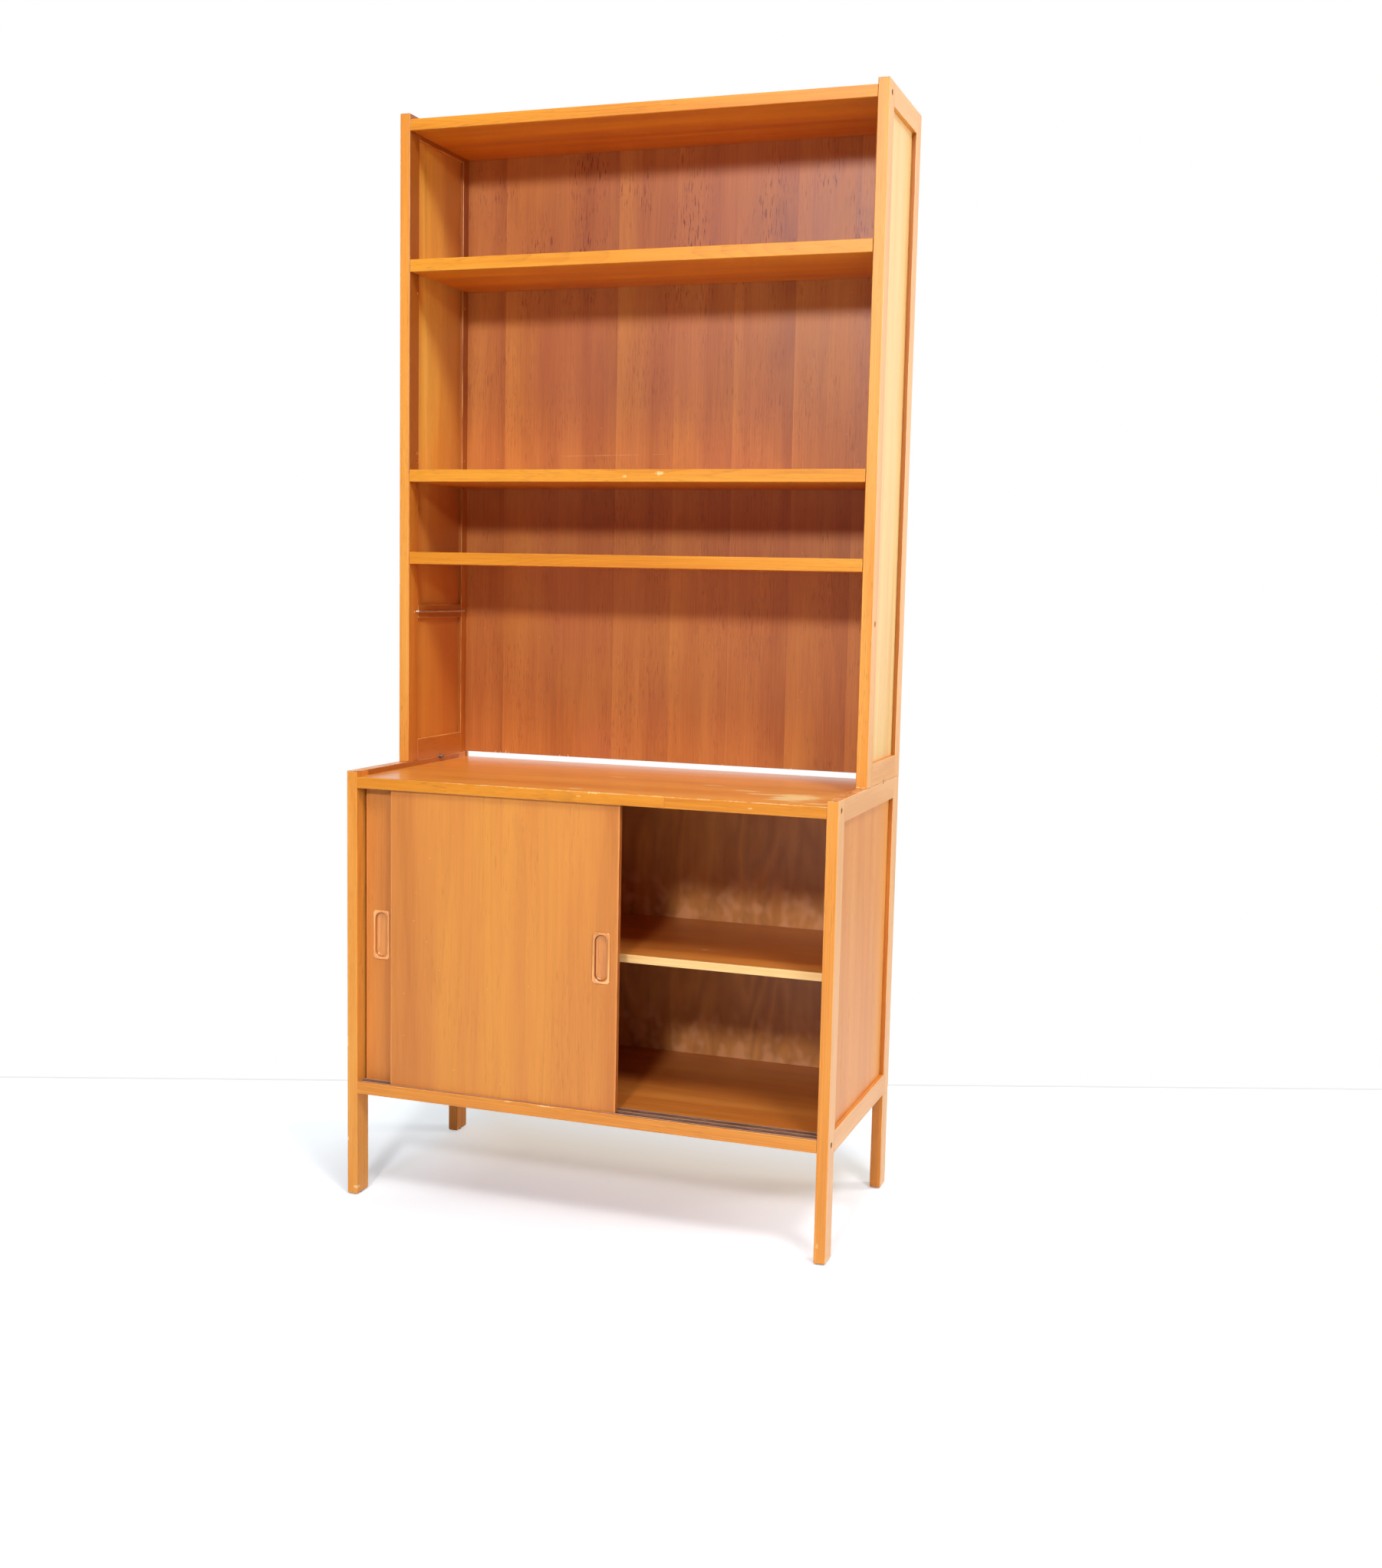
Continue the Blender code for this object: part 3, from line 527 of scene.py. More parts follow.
top_veneer = teak("teak veneer on the base top", (218, 126, 46), (242, 157, 63), (250, 175, 84),
                  lines=.22, flecks=.2, leaf=.14, shift=.02, leaf_range=.15, rough=.32, coat=.2,
                  coat_rough=.16, bump=.12, extra=rubbed_patch)
board_veneer = teak("teak veneer on boards", (196, 100, 16), (222, 128, 20), (238, 150, 36),
                    lines=.25, flecks=.3, leaf=.14, leaf_range=.15, rough=.4)
timber("teak_veneer", "base_top_board", "yzx", top_veneer, joined="-x+x-y", shade=0)


def worn_lip(tree, colour):
    """The knocks, and the broken pale line that hands have rubbed along the base top's front."""
    here = add(tree, "TexCoord")["Object"]
    height = here.part("Z")
    wavy = (here.noise((60, 0, 0), 3) - .5) * .0022
    edge = (height + wavy).spread(.7660, .7668) * (here.part("Y") + wavy).spread(-.2168, -.2178)
    edge = edge * height.spread(.7685, .7682) * here.part("X").spread(-.27, -.24)
    edge = edge * here.noise((26, 0, 0), 3, .7).spread(.44, .54)
    return nicks(tree, (edge * .55).mix(colour, paint(248, 198, 132)))


lip_teak = teak("golden solid teak of the lippings", (200, 112, 18), (224, 138, 27),
                (236, 157, 40), lines=.3, flecks=.35, worn=.8, coat=.1, coat_rough=.25,
                extra=worn_lip)

# The top's lipping is two lengths, which meet in a hairline right of the middle.
seam, half_line = .151, .0002
lengths = [wooden("base_top_lipping", "zyx", lip_teak, joined="-x+x+y", ease=.0006,
                  keep=("x", *stretch), name=f"base_top_lipping_{side}", shade=shade, rub=rub)
           for side, stretch, shade, rub in (("left", (-1, seam - half_line), 0, 1.7),
                                             ("right", (seam + half_line, 1), -.12, 1.9))]
for length in lengths:
    fitted(length, "solid_teak", "base_top_lipping")


# Back, bottom and inner shelf of the base cabinet.
# The back is thin plywood with a flamed brown face, in grooves of the back legs. The bottom is
# lipped like the top. The inner shelf, thinner and with a pale lipping, lies loose on its bearers.

def flames(tree, colour):
    """The peeled face's flames, the height lines of a slow noise, and pale blotches of painted
    light in the lit bands just above the boards.
    """
    here = add(tree, "TexCoord")["Object"]
    height, depth = here.part("Z"), here.part("Y")
    bands = sums("PINGPONG", here.noise((7.5, 0, 1.7), 3, .45) * 10., .5)
    colour = bands.spread(.0, .5, .32, 0.).mix(colour, paint(126, 72, 34))
    # Painted light: pale blotches only in the lit bands above the bottom board and inner shelf.
    lit_bands = [abs(height - middle).spread(.075, .03, .12, 1.) for middle in (.235, .500)]
    lit_blotch = here.noise((34, 0, 26), 1, .5).spread(.46, .64, 0., .6)
    lit_blotch = lit_blotch * sums("MAXIMUM", *lit_bands) * depth.spread(.209, .208)
    return lit_blotch.mix(colour, paint(236, 172, 122))


plywood = teak("flamed plywood on the cabinet back", (204, 132, 66), (214, 143, 74),
               (220, 152, 84), ring=.02, heart=.035, lines=.03, flecks=.12, worn=.2, coat=.2,
               extra=flames)


def shelf_shade_and_nick(tree, colour):
    """The boards are darker at the rear with painted shade, and the inner shelf has a pale nick
    on top.
    """
    here = add(tree, "TexCoord")["Object"]
    colour = here.part("Y").spread(-.13, .05, 0., .38).mix(colour, paint(146, 74, 34))
    ragged = (here.noise((200, 400, 1), 3, .7) - .5) * 3.
    nick = ((.171, -.052, .478), (1 / 130, 1 / 420, 1 / 60), .85)
    return marked(colour, here, ragged, .6, [nick], paint(236, 206, 168))


shelf_veneer = teak("teak veneer inside the cabinet", (184, 96, 34), (212, 126, 48),
                    (228, 148, 66), lines=.3, flecks=.2, rough=.4, coat=.2, extra=shelf_shade_and_nick)
pale_lipping = teak("pale lipping of the inner shelf", (238, 178, 104), (252, 204, 134),
                    (255, 220, 156), lines=.12, flecks=.15, worn=.2, rough=.5, coat=.05)
timber("plywood", "base_back_panel", "xyz", plywood, shade=0)
for node, slot, lipping, lipping_depth, rub in (
        ("base_bottom_board", "teak_veneer", solid_teak, .004, 1.5),
        ("inner_shelf", "plywood", pale_lipping, .005, 1.)):
    lipping_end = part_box(node)[0].y + lipping_depth
    timber(slot, node, "yzx", shelf_veneer, joined="-x+x", shade=-.2, rub=rub,
           cuts=[("y", lipping_end)], second=lipping, edging=lambda at: at.y < lipping_end)


# Door tracks.
# Brown plastic track with two grooves, pressed into the top of the bottom board and the underside
# of the base top. The tops of its ridges and rims carry a painted pale highlight.

track_plastic, tree, shader = new_finish("brown track plastic")
here = add(tree, "TexCoord")["Object"]
height = here.part("Z")
mottle = here.noise((30, 120, 120), 3).spread(.35, .65)
colour = mottle.mix(paint(88, 54, 40), paint(112, 72, 54))
# A painted highlight pales the tops of the lower track's ridges and rims.
ridge_highlight = height.spread(.2126, .2136) * height.spread(.30, .25)
colour = (ridge_highlight * .8).mix(colour, paint(184, 138, 112))
place = add(tree, "Attribute", attribute_name="grain")["Vector"]
edge = use_effect(tree, worn_edge_and_highlight, Place=place, Amount=.9)["Worn"]
feed(tree, shader, {"Base Color": edge.mix(colour, paint(222, 184, 156)),
                    "Roughness": here.noise((60, 400, 400), 2).spread(.3, .7, .32, .5),
                    "Normal": relief(tree, mottle, .0001, .3)})
for node in ("lower_door_track", "upper_door_track"):
    timber("track_plastic", node, "yzx", track_plastic, name=node + "_strip", ease=.0004)


# Sliding doors.
# Two flat doors in the grooves of the tracks, veneered with upright teak leaves and edged with
# thin solid strips. Each has a let-in pull, turned from solid teak, with a round-ended hollow.

door_veneer = teak("teak veneer on the doors", (202, 119, 49), (217, 135, 57), (226, 147, 58),
                   ring=.006, heart=.045, lines=.14, flecks=.25, leaf=.2178, shift=.1488,
                   mirrored=1., figure=.3, specks=.6, rough=.45)
pull_teak_and_shade = teak("solid teak of the pulls", (92, 42, 18), (220, 136, 64), (238, 160, 84), lines=.2,
                 flecks=.3, worn=.95, rough=.3, coat=.5, coat_rough=.2)


def outline(half_wide, half_tall, corner, steps=8):
    """Points round a rectangle with round corners, the same number whatever its corners."""
    points = []
    for quarter, (sx, sz) in enumerate(((1, 1), (-1, 1), (-1, -1), (1, -1))):
        for step in range(steps + 1):
            turn = math.radians(90) * (quarter + step / steps)
            points.append((sx * (half_wide - corner) + corner * math.cos(turn),
                           sz * (half_tall - corner) + corner * math.sin(turn)))
    return points


def skinned(name, rings):
    """A closed mesh through rings of points, all with the same number of them."""
    shell = bmesh.new()
    loops = [[shell.verts.new(point) for point in ring] for ring in rings]
    for first, second in zip(loops, loops[1:]):
        for i, vert in enumerate(first):
            after = (i + 1) % len(first)
            shell.faces.new((vert, first[after], second[after], second[i]))
    shell.faces.new(loops[0])
    shell.faces.new(loops[-1])
    return closed(shell, name)


def door_pull(node, name):
    """The pull's rim, its rounded lip, the steep wall of the hollow and the hollow's floor."""
    low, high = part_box(node)
    middle = (low + high) / 2
    half_wide, half_tall = (high.x - low.x) / 2, (high.z - low.z) / 2
    rim = [(0, .0065, high.y - low.y), (0, .0065, .0013), (.0003, .0062, .0008),
           (.0009, .0057, .0003), (.0017, .0052, 0), (.0026, .0060, .0001)]
    rings = [(half_wide - inset, half_tall - inset, corner, depth) for inset, corner, depth in rim]
    rings += [(.0128, .0410, .0090, .0004), (.0120, .0402, .0116, .0010),
              (.0115, .0397, .0114, .0020), (.0112, .0394, .0112, .0044),
              (.0106, .0388, .0106, .0054), (.0094, .0376, .0094, .0060),
              (.0060, .0340, .0060, .0062)]
    mesh = skinned(name, [[(middle.x + x, low.y + depth, middle.z + z)
                           for x, z in outline(wide, tall, corner)]
                          for wide, tall, corner, depth in rings])
    mesh.polygons.foreach_set("use_smooth", [len(face.vertices) == 4 for face in mesh.polygons])
    own_stretch = Vector((.2, 0, middle.x * 5))
    write_points(mesh, "grain", [vert.co + own_stretch for vert in mesh.vertices])
    # A painted highlight lightens the rim, and painted shade darkens the hollow's walls.
    write_faces(mesh, "shade", [.4 if face.center.y < low.y + .0011 else
                                -.1 if abs(face.normal.y) > .7 else -1.1
                                for face in mesh.polygons])
    write_faces(mesh, "arris", [float(face.center.y < low.y + .0005) for face in mesh.polygons])
    return placed(name, mesh, pull_teak_and_shade)


door_edging = teak("thin teak edging of the doors", (198, 110, 46), (220, 134, 58),
                   (232, 150, 72), lines=.1, flecks=.2, worn=.6, rough=.45)
strip_width = .0028
for door in ("front", "rear"):
    node = f"{door}_door_panel"
    low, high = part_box(node)
    strip_ends = low.x + strip_width, high.x - strip_width
    # The doors' side faces are darker with painted shade.
    timber("teak_veneer", node, "xyz", door_veneer, cuts=[("x", end) for end in strip_ends],
           second=door_edging, ease=.0008,
           shade=lambda at, normal: -1.2 if abs(normal.x) > .7 else 0.,
           edging=lambda at: not strip_ends[0] < at.x < strip_ends[1])
    node = f"{door}_door_pull"
    fitted(door_pull(node, node + "_hollowed"), "solid_teak", node)


# Foot glides.
# A dark domed glide is knocked into the end of each leg, so that only a thin dark line of it shows.

def turned(profile, sides=24):
    """A turned shape about Z, from (radius, height) upwards. A ring can be "hex" or a "slot"."""
    half_slot = .0005
    rings = []
    for radius, height, *shape in profile:
        ring = []
        for i in range(sides):
            turn = math.tau * i / sides
            reach = radius
            if "hex" in shape:
                reach = radius / math.cos((turn % (math.pi / 3)) - math.pi / 6)
            if "slot" in shape:
                reach = min(radius, half_slot / max(abs(math.sin(turn)), 1e-6))
            ring.append((reach * math.cos(turn), reach * math.sin(turn), height))
        rings.append(ring)
    return skinned("turned shape", rings)


def steel(name, dark, light, brightest, dullest, fine=200):
    """Steel with a slight mottle in its colour, its sheen and its surface."""
    material, tree, shader = new_finish(name)
    here = add(tree, "TexCoord")["Object"]
    mottle = here.noise((fine, fine, fine), 3).spread(.35, .65)
    feed(tree, shader, {"Base Color": mottle.mix(paint(*dark), paint(*light)), "Metallic": 1.,
                        "Roughness": mottle.spread(0., 1., brightest, dullest),
                        "Normal": relief(tree, mottle, .0001, .2)})
    return material


def join(tree, *pairs):
    """Joins each output to its input."""
    for start, end in pairs:
        tree.links.new(start, end)


def new_recipe(name, takes, kinds):
    """A Geometry Nodes group that takes geometry, a finish and other named values.

    It is given back with what it takes, where its result goes in, to be made real and get the
    finish, and a node of each kind in turn.
    """
    tree = bpy.data.node_groups.new(name, "GeometryNodeTree")
    for label, kind in {"Start": "Geometry", "Finish": "Material", **takes}.items():
        tree.interface.new_socket(label, in_out="INPUT", socket_type="NodeSocket" + kind)
    tree.interface.new_socket("Result", in_out="OUTPUT", socket_type="NodeSocketGeometry")
    given, real, finish, out, *nodes = (tree.nodes.new(kind) for kind in (
        "NodeGroupInput", "GeometryNodeRealizeInstances", "GeometryNodeSetMaterial",
        "NodeGroupOutput", *kinds))
    join(tree, (real.outputs[0], finish.inputs["Geometry"]),
         (given.outputs["Finish"], finish.inputs["Material"]), (finish.outputs[0], out.inputs[0]))
    return tree, given.outputs, real.inputs[0], *nodes


def grown(recipe, start, **values):
    """What a Geometry Nodes group makes of a mesh, as a plain mesh."""
    host = placed(start.name + " start", start)
    modifier = host.modifiers.new("grown", "NODES")
    modifier.node_group = recipe
    for socket in recipe.interface.items_tree:
        word = socket.name.replace(" ", "_")
        if word in values:
            modifier[socket.identifier] = values[word]
    return made_plain(host)


set_down, given, result, shape, copies, facing, align, chance, spin, twist = new_recipe(
    "one shape set down at many places", {"Shape": "Object", "Size": "Float", "Seed": "Int"},
    ["GeometryNodeObjectInfo", "GeometryNodeInstanceOnPoints", "GeometryNodeInputNamedAttribute",
     "FunctionNodeAlignRotationToVector", "FunctionNodeRandomValue",
     "FunctionNodeAxisAngleToRotation", "FunctionNodeRotateRotation"])
facing.data_type = "FLOAT_VECTOR"
facing.inputs["Name"].default_value = "facing"
align.axis = "Z"
chance.data_type = "FLOAT"
chance.inputs[3].default_value = math.tau
twist.rotation_space = "LOCAL"
join(set_down, (given["Start"], copies.inputs["Points"]), (given["Shape"], shape.inputs["Object"]),
     (shape.outputs["Geometry"], copies.inputs["Instance"]),
     (facing.outputs[0], align.inputs["Vector"]), (given["Seed"], chance.inputs["Seed"]),
     (chance.outputs[1], spin.inputs["Angle"]), (align.outputs[0], twist.inputs["Rotation"]),
     (spin.outputs[0], twist.inputs["Rotate By"]), (twist.outputs[0], copies.inputs["Rotation"]),
     (given["Size"], copies.inputs["Scale"]), (copies.outputs[0], result))


def repeated(name, shape, rows, finish, body, nodes=()):
    """One small shape set down at many places, as one piece.

    rows are (place, facing): the shape's own up points along facing.
    """
    pattern = placed(name + " pattern", shape, finish)
    points = bpy.data.meshes.new(name)
    points.from_pydata([spot for spot, _ in rows], [], [])
    write_points(points, "facing", [way for _, way in rows])
    mesh = grown(set_down, points, Shape=pattern, Size=1., Seed=5, Finish=finish)
    bpy.data.objects.remove(pattern)
    piece = placed(name, mesh, finish)
    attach(piece, body)
    if nodes:
        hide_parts(*nodes)


dark_steel = steel("dark bolt steel", (58, 54, 52), (98, 92, 88), .35, .55)
glide_shape = turned([(.0040, .0000), (.0068, .0003), (.0078, .0012), (.0080, .0024),
                      (.0070, .0030)])
glide_rows = []
for leg in ("left_front", "left_back", "right_front", "right_back"):
    low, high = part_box(f"base_{leg}_leg")
    glide_rows.append((((low.x + high.x) / 2, (low.y + high.y) / 2, 0), (0, 0, 1)))
repeated("foot_glides", glide_shape, glide_rows, dark_steel, "carcass")


# Side frames of the upper bookcase.
# Made as the base's frames are, from narrower stiles. Rows of holes for the wires run up the inner
# faces. A thin rail on the inside backs the panel at the height of the spare wire.

def painted_shade_inside(tree, colour):
    """Painted shade: the inner faces are redder and darker towards the back and under the middle
    shelf.
    """
    here = add(tree, "TexCoord")["Object"]
    ragged = here.noise((20, 20, 3), 3) - .5
    shade_towards_back = (ragged * .12 + here.part("Y")).spread(.06, .14, 0., .5)
    colour = shade_towards_back.mix(colour, paint(178, 92, 46))
    return here.part("Z").spread(1.32, 1.30, 0., .6).mix(colour, paint(206, 110, 40))


# The outer faces' pale yellow is the veneer's own tone with a painted sheen over it.
upper_side_veneer_and_sheen = teak("yellow teak veneer on the upper sides", (240, 180, 98),
                         (252, 206, 126), (254, 219, 150), heart=.03, lines=.15, flecks=.25,
                         leaf=.105, shift=.05, leaf_range=.2, coat=.25, coat_rough=.2)
upper_inner_veneer = teak("teak veneer inside the upper sides", (222, 150, 48), (247, 184, 74),
                          (252, 200, 96), ring=.007, heart=.03, lines=.4, flecks=.25, coat=.2,
                          extra=painted_shade_inside)
middle_shelf_height, panel_middle = 1.311, .4395


def shaded_corners(at, normal):
    """Painted shade darkens the step and the inner face of what lies deep in the corners."""
    if normal.y < -.6 and at.y > .1:
        return -1.6
    if abs(at.x) < inner_side:
        return -1.7 if at.z > middle_shelf_height else -1.15
    return sheen_and_step_shade(at, normal)


for side in ("left", "right"):
    for end in ("front", "back"):
        timber("solid_teak", f"upper_{side}_{end}_stile", "yxz", solid_teak, shade=shaded_corners,
               cuts=[("z", middle_shelf_height)])
    for place in ("top", "bottom"):
        timber("solid_teak", f"upper_{side}_{place}_rail", "zxy", solid_teak, joined="-y+y",
               shade=shaded_corners)
    # The mid rail is darker with painted shade.
    timber("solid_teak", f"upper_{side}_mid_rail", "zxy", solid_teak, ease=.0006, shade=-1.4)
    timber("teak_veneer", f"upper_{side}_panel", "yxz", upper_inner_veneer, shade=0,
           second=upper_side_veneer_and_sheen, edging=lambda at: abs(at.x) > panel_middle)


# Top board and back of the upper bookcase.
# The top board is veneered and lipped. The back is a thin panel faced with reddish teak leaves
# laid side by side, with many open pores. It stops short of the base top and leaves a slot.

def toned_back(tree, colour):
    """Broad golden and rosy clouds, the long scratch over the middle shelf, and redder flecks."""
    here = add(tree, "TexCoord")["Object"]
    for stretch, shift, cloud in (((5, 0, 3.5), 0., paint(206, 134, 56)),
                                  ((4, 0, 3), 7.3, paint(190, 104, 66))):
        moved = here.vector("ADD", (shift, 0, shift))
        where = moved.noise(stretch, 3, .55).spread(.5, .66, 0., .35)
        colour = where.mix(colour, cloud)
    x, height = here.part("X"), here.part("Z")
    inside = here.part("Y").spread(.209, .208)
    scratch = abs(height - (x * .012 + 1.3620)).spread(.0012, .0004, 0., .28)
    scratch = scratch * abs(x + .13).spread(.12, .08) * inside
    scratch = scratch * here.noise((40, 0, 40), 2).spread(.42, .56)
    colour = scratch.mix(colour, paint(236, 176, 130))
    streak = here.noise((380, 0, 36), 2, .6).spread(.55, .66)
    zone = here.noise((14, 0, 5), 2).spread(.47, .58) * height.spread(1.60, 1.72, .4, 1.)
    return (streak * zone * inside.spread(0., 1., .4, 1.)).mix(colour, paint(128, 46, 22))


back_veneer = teak("reddish teak veneer on the back", (170, 92, 42), (194, 114, 50),
                   (212, 134, 58), ring=.0055, heart=.06, lines=.15, flecks=.5, leaf=.1163,
                   shift=.0, figure=.17, leaf_range=.16, specks=.5, coat=.35, extra=toned_back)
timber("teak_veneer", "upper_top_board", "yzx", board_veneer, joined="-x+x-y", shade=0)
timber("solid_teak", "upper_top_lipping", "zyx", lip_teak, joined="-x+x+y", ease=.0006, shade=-.1)
timber("back_veneer", "upper_back_panel", "xyz", back_veneer, shade=0)

# Slivers have split off along the panel's lower edge, and stand out pale.
panel_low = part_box("upper_back_panel")[0]
foot, front = panel_low.z + .0002, panel_low.y - .0004
slivers = bmesh.new()
for x, tall, lean in ((-.364, .0050, .4), (-.352, .0040, -.3), (-.341, .0080, .15),
                      (-.334, .0035, -.5), (-.225, .0045, .3), (-.206, .0060, -.2),
                      (-.163, .0030, .4), (.112, .0030, -.3), (.247, .0035, .2)):
    corners = [slivers.verts.new(place) for place in (
        (x - .0011, front, foot), (x + .0009, front - .0003, foot),
        (x + .0002, front + .0008, foot), (x + lean * tall, front - .0002, foot + tall))]
    for face in ((0, 1, 3), (1, 2, 3), (2, 0, 3), (0, 2, 1)):
        slivers.faces.new([corners[i] for i in face])
sliver_mesh = closed(slivers, "back_panel_slivers")
write_points(sliver_mesh, "grain", [vert.co for vert in sliver_mesh.vertices])
splintered = placed("back_panel_slivers", sliver_mesh, pale_lipping)
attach(splintered, frame["nodes"]["upper_back_panel"]["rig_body"])


# Shelf wires.
# Each shelf hangs on two bent steel wires, whose toes stand in holes of the stiles. One more pair
# is left in place where a fourth shelf can go.

bright_steel = steel("bright wire steel", (214, 212, 208), (240, 238, 234), .28, .42, fine=350)

sweep, given, result, path, bend, section, swept, smooth = new_recipe(
    "wire swept along its path", {"Bend Radius": "Float", "Wire Radius": "Float", "Sides": "Int"},
    ["GeometryNodeMeshToCurve", "GeometryNodeFilletCurve", "GeometryNodeCurvePrimitiveCircle",
     "GeometryNodeCurveToMesh", "GeometryNodeSetShadeSmooth"])
bend.mode = "POLY"
bend.inputs["Count"].default_value = 6
swept.inputs["Fill Caps"].default_value = True
join(sweep, (given["Start"], path.inputs["Mesh"]), (path.outputs[0], bend.inputs["Curve"]),
     (given["Bend Radius"], bend.inputs["Radius"]), (given["Sides"], section.inputs["Resolution"]),
     (given["Wire Radius"], section.inputs["Radius"]), (bend.outputs[0], swept.inputs["Curve"]),
     (section.outputs[0], swept.inputs["Profile Curve"]),
     (swept.outputs[0], smooth.inputs["Geometry"]), (smooth.outputs[0], result))

wire_nodes = [f"{level}_wire_{side}" for level in ("bare", "lower", "middle", "top")
              for side in ("left", "right")]
bends, lengths = [], []
for node in wire_nodes:
    low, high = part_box(node)
    radius = (high.z - low.z) / 2
    wall, run = (low.x, high.x - radius) if low.x < 0 else (high.x, low.x + radius)
    front, back = low.y + radius, high.y - radius
    lengths += [(len(bends) + i, len(bends) + i + 1) for i in range(3)]
    bends += [(x, y, low.z + radius)
              for x, y in ((wall, front), (run, front), (run, back), (wall, back))]
wire_paths = bpy.data.meshes.new("shelf_wires")
wire_paths.from_pydata(bends, lengths, [])
wire_mesh = grown(sweep, wire_paths, Bend_Radius=.0032, Wire_Radius=radius, Sides=14,
                  Finish=bright_steel)
fitted(placed("shelf_wires", wire_mesh, bright_steel), "bright_steel", *wire_nodes)


# Upper shelves.
# Three veneered boards with a thicker solid lipping, grooved at the ends so that they slide over
# their wires and hide them.

for level, shade in (("lower", .4), ("middle", -.1), ("top", .7)):
    timber("teak_veneer", f"{level}_shelf_board", "yzx", board_veneer, joined="-x+x-y", shade=0)
    timber("solid_teak", f"{level}_shelf_lipping", "zyx", lip_teak, joined="-x+x+y", shade=shade,
           seed=level)


# Bolts, pins and screws.
# Socket-head bolts go through the front uprights into the board ends. A steel pin keys each upper
# side to the base side under it. Slotted screws hold the two backs.

def at_the_sides(nodes, from_middle, outwards):
    """Places and facings of parts in the two sides, which face outwards (1) or inwards (-1)."""
    rows = []
    for node in nodes:
        low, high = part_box(node)
        middle, way = (low + high) / 2, -1 if low.x < 0 else 1
        rows.append(((way * from_middle, middle.y, middle.z), (way * outwards, 0, 0)))
    return rows


bolt_nodes = [f"{place}_bolt_{side}" for place in ("upper", "base_top", "base_bottom")
              for side in ("left", "right")]
bolt_shape = turned([(.0030, -.0590), (.0030, -.0100), (.0047, -.0092), (.0048, -.0012),
                     (.0046, -.0004), (.0040, .0000), (.0027, .0000, "hex"),
                     (.0025, -.0003, "hex"), (.0025, -.0030, "hex"), (.0010, -.0036)])
bolt_rows = at_the_sides(bolt_nodes, from_middle=.449, outwards=1)
repeated("side_bolts", bolt_shape, bolt_rows, dark_steel, "carcass", bolt_nodes)

pin_nodes = ["locating_pin_left", "locating_pin_right"]
pin_shape = turned([(.0034, -.0264), (.0039, -.0259), (.0039, -.0007), (.0034, .0000),
                    (.0022, .0000), (.0017, -.0006), (.0015, -.0030)])
pin_steel = steel("dull pin steel", (120, 110, 102), (176, 166, 156), .35, .5)
pin_rows = at_the_sides(pin_nodes, from_middle=.423, outwards=-1)
repeated("locating_pins", pin_shape, pin_rows, pin_steel, "carcass", pin_nodes)

screw_rows = []
for node, heights in (("upper_back_panel", [1.930]), ("base_back_panel", [.202, .7405])):
    low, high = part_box(node)
    first, last, spaces = low.x + .05, high.x - .05, 5
    across = [first + i * (last - first) / spaces for i in range(spaces + 1)]
    screw_rows += [((x, high.y, z), (0, 1, 0)) for x in across for z in heights]
screw_shape = turned([(.0020, -.0030), (.0034, -.0002), (.0034, .0002), (.0030, .0003),
                      (.0028, .0003, "slot"), (.0027, -.0006, "slot")], 20)
repeated("back_screws", screw_shape, screw_rows, bright_steel, "carcass")


# Where it stands.
# A plain pale floor that keeps the bookcase's shadow, and a white room round it. Gloss mirrors its
# white wall behind the bookcase, and the dimmer room in front.

floor_mesh = bpy.data.meshes.new("floor")
floor_mesh.from_pydata([(-9, -9, 0), (9, -9, 0), (9, 9, 0), (-9, 9, 0)], [], [(0, 1, 2, 3)])
floor_finish, tree, shader = new_finish("pale floor")
here = add(tree, "TexCoord")["Object"]
x, y = here.part("X"), here.part("Y")
seen = add(tree, "LightPath")["Is Camera Ray"]
cloudy = here.noise((2, 2, 2), 3).spread(.35, .65)
feed(tree, shader, {"Base Color": cloudy.mix(paint(238, 243, 248), paint(243, 247, 251)),
                    "Roughness": .7})

# To the camera the floor glows more away from the bookcase, and is warmer close behind it.
rearward = y.spread(-.1, .16)
away = sums("MAXIMUM", abs(x) - .35, abs(y) - .25)
raised = rearward * .1 + away.spread(-.1, .3, .23, .5)
warmed = rearward * away.spread(.12, -.05)
lift = add(tree, "Emission", {"Color": warmed.mix(paint(238, 248, 255), paint(255, 248, 230)),
                              "Strength": seen * raised})
lifted = add(tree, "AddShader", {0: Flow(tree, shader), 1: lift})

# From a slanting line behind the bookcase on, it shows the camera a white wall with a grey foot.
behind = x * -.396 + y - .733
foot_line = abs(behind - .006).spread(.004, .008, .86, 1.)
glow = add(tree, "Emission", {"Color": (1, 1, 1, 1), "Strength": foot_line})
wall = seen * behind.spread(-.004, .0)
feed(tree, tree.nodes["Material Output"],
     {"Surface": add(tree, "MixShader", {0: wall, 1: lifted, 2: glow})})
placed("floor", floor_mesh, floor_finish)

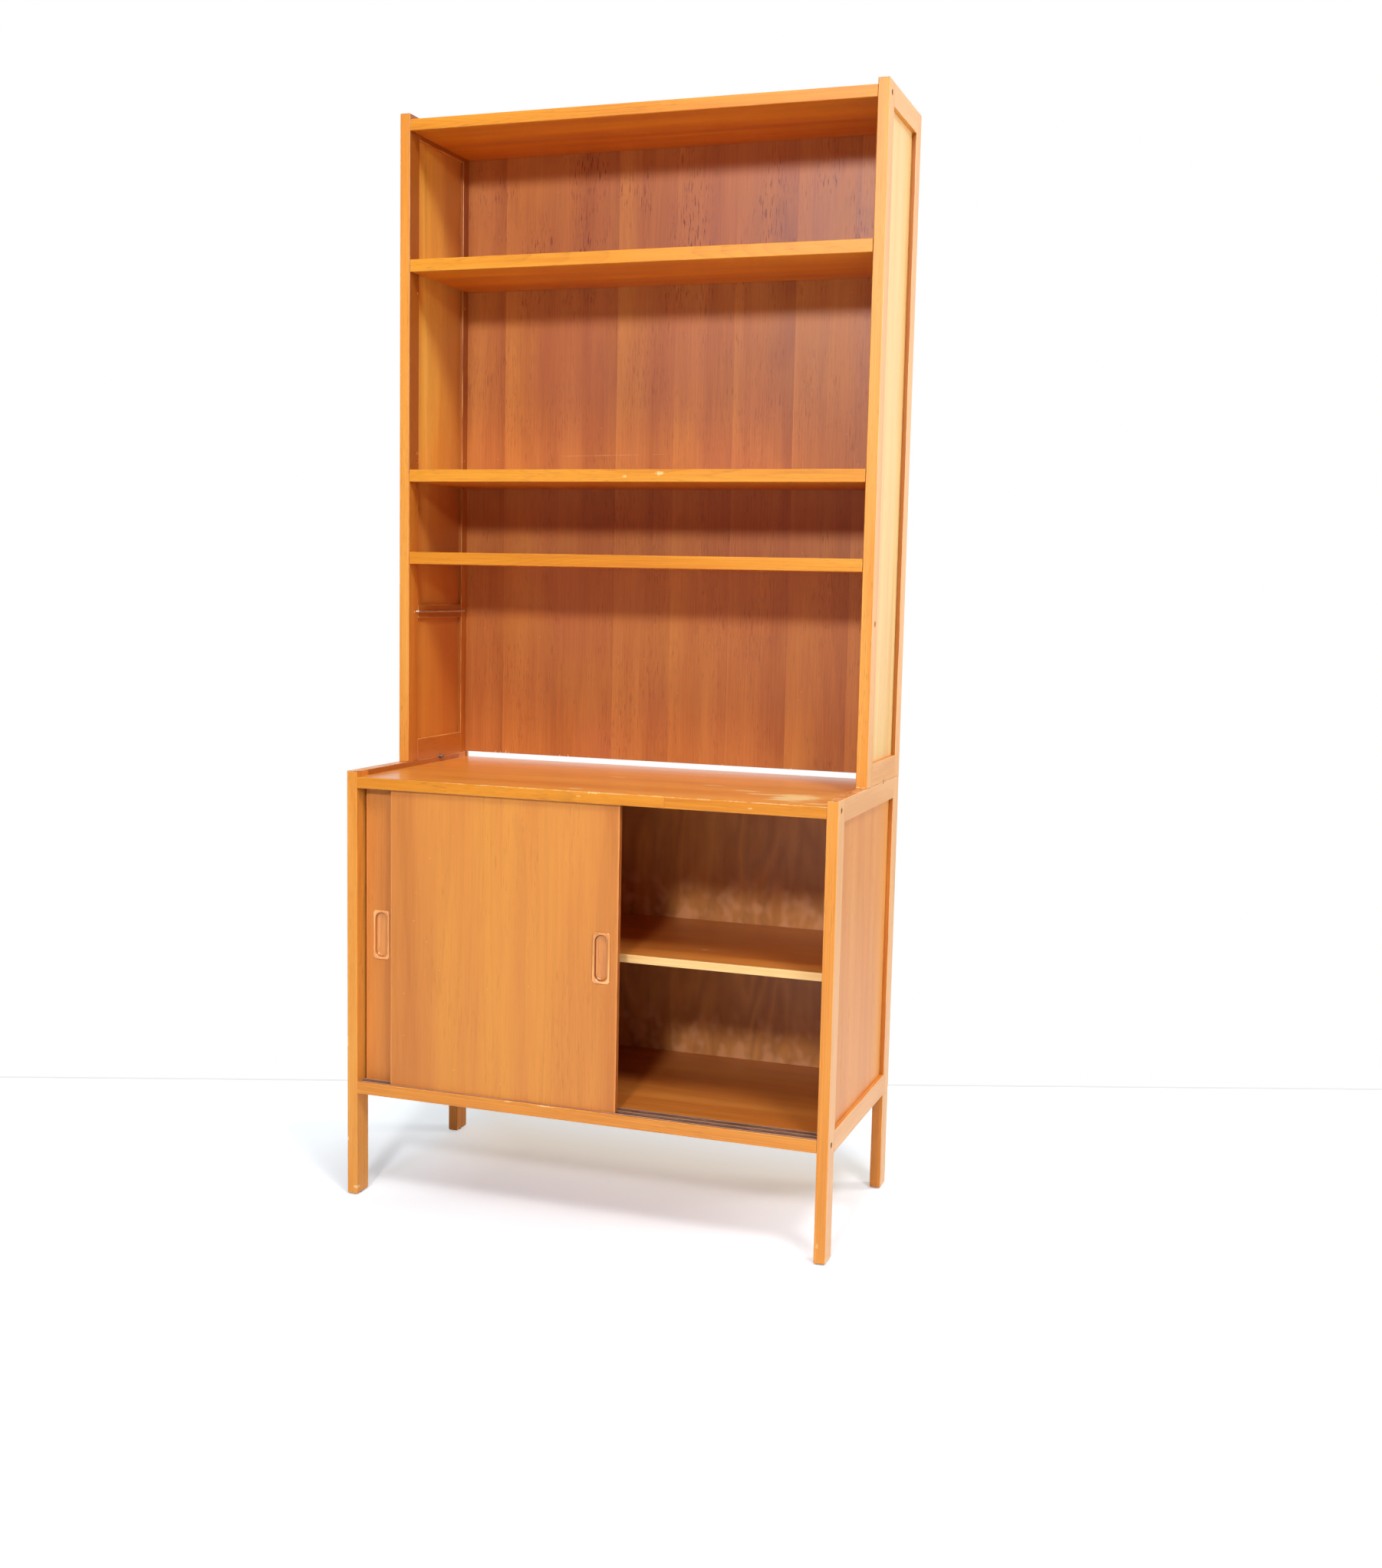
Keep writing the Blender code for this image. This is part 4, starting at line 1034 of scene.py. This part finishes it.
world = bpy.data.worlds.new("white room")
bpy.context.scene.world = world
world.use_nodes = True
tree = world.node_tree
path = add(tree, "LightPath")
seen = path["Is Camera Ray"]
mirrored = sums("MAXIMUM", path["Is Glossy Ray"], path["Is Transmission Ray"])
unseen = sums("SUBTRACT", 1., sums("MAXIMUM", seen, mirrored))
mirrored = mirrored * add(tree, "TexCoord")["Generated"].part("Y").spread(-.35, .35, .12, 1.)
feed(tree, tree.nodes["Background"],
     {"Color": unseen.mix((1, 1, 1, 1), (1, .94, .84, 1)),
      "Strength": unseen * .165 + sums("MAXIMUM", seen, mirrored)})


# Light.
# One fairly small lamp high in front draws the shadows under the shelves, and one high at the right
# those down the left inner side. The others lift the tops, the outer side and the shadows.

def lamp(name, place, aim, size, power, colour=(1, 1, 1)):
    """A round lamp that looks at a point."""
    light = bpy.data.lights.new(name, "AREA")
    light.shape = "DISK"
    light.size = size
    light.energy = power
    light.color = colour
    holder = placed(name, light)
    holder.location = place
    holder.rotation_euler = (Vector(aim) - Vector(place)).to_track_quat("-Z", "Y").to_euler()


lamp("front lamp", (.55, -4.1, 2.75), (0, 0, 1), .45, 86)
lamp("low front lamp", (.95, -4.4, 1.0), (0, 0, .6), 1.2, 7)
lamp("left lamp", (-.55, -3.3, 2.55), (0, 0, 1.2), .5, 15, (.62, .8, 1))
lamp("overhead lamp", (.6, -1.9, 4.6), (0, 0, .6), 1.5, 36)
lamp("right front lamp", (2.4, -2.5, 4.4), (0, 0, 1.1), 1.1, 98)
lamp("right lamp", (2.8, 1.3, 1.7), (.45, 0, 1.3), 1.4, 40, (1, .98, .95))


# Camera.
# Just right of the cabinet and a little over waist height, as the photograph was taken.

stand = Vector((1.133, -2.9135, 1.1208))
yaw, pitch, roll, reach = .3343, -.1149, .0212, 2263.07
level = Vector((-math.sin(yaw), math.cos(yaw), 0))
forward = level * math.cos(pitch) + Vector((0, 0, math.sin(pitch)))
upright = Vector((0, 0, math.cos(pitch))) - level * math.sin(pitch)
across = Vector((math.cos(yaw), math.sin(yaw), 0))
right = across * math.cos(roll) + upright * math.sin(roll)
above = upright * math.cos(roll) - across * math.sin(roll)
turned_view = Matrix((right, above, -forward)).transposed().to_4x4()
lens = bpy.data.cameras.new("camera")
film_width, photo_width = 36, 1802
lens.sensor_fit = "HORIZONTAL"
lens.sensor_width = film_width
lens.lens = film_width * reach / photo_width
camera = placed("camera", lens)
camera.matrix_world = Matrix.Translation(stand) @ turned_view
bpy.context.scene.camera = camera
bpy.context.scene.view_settings.view_transform = "Standard"
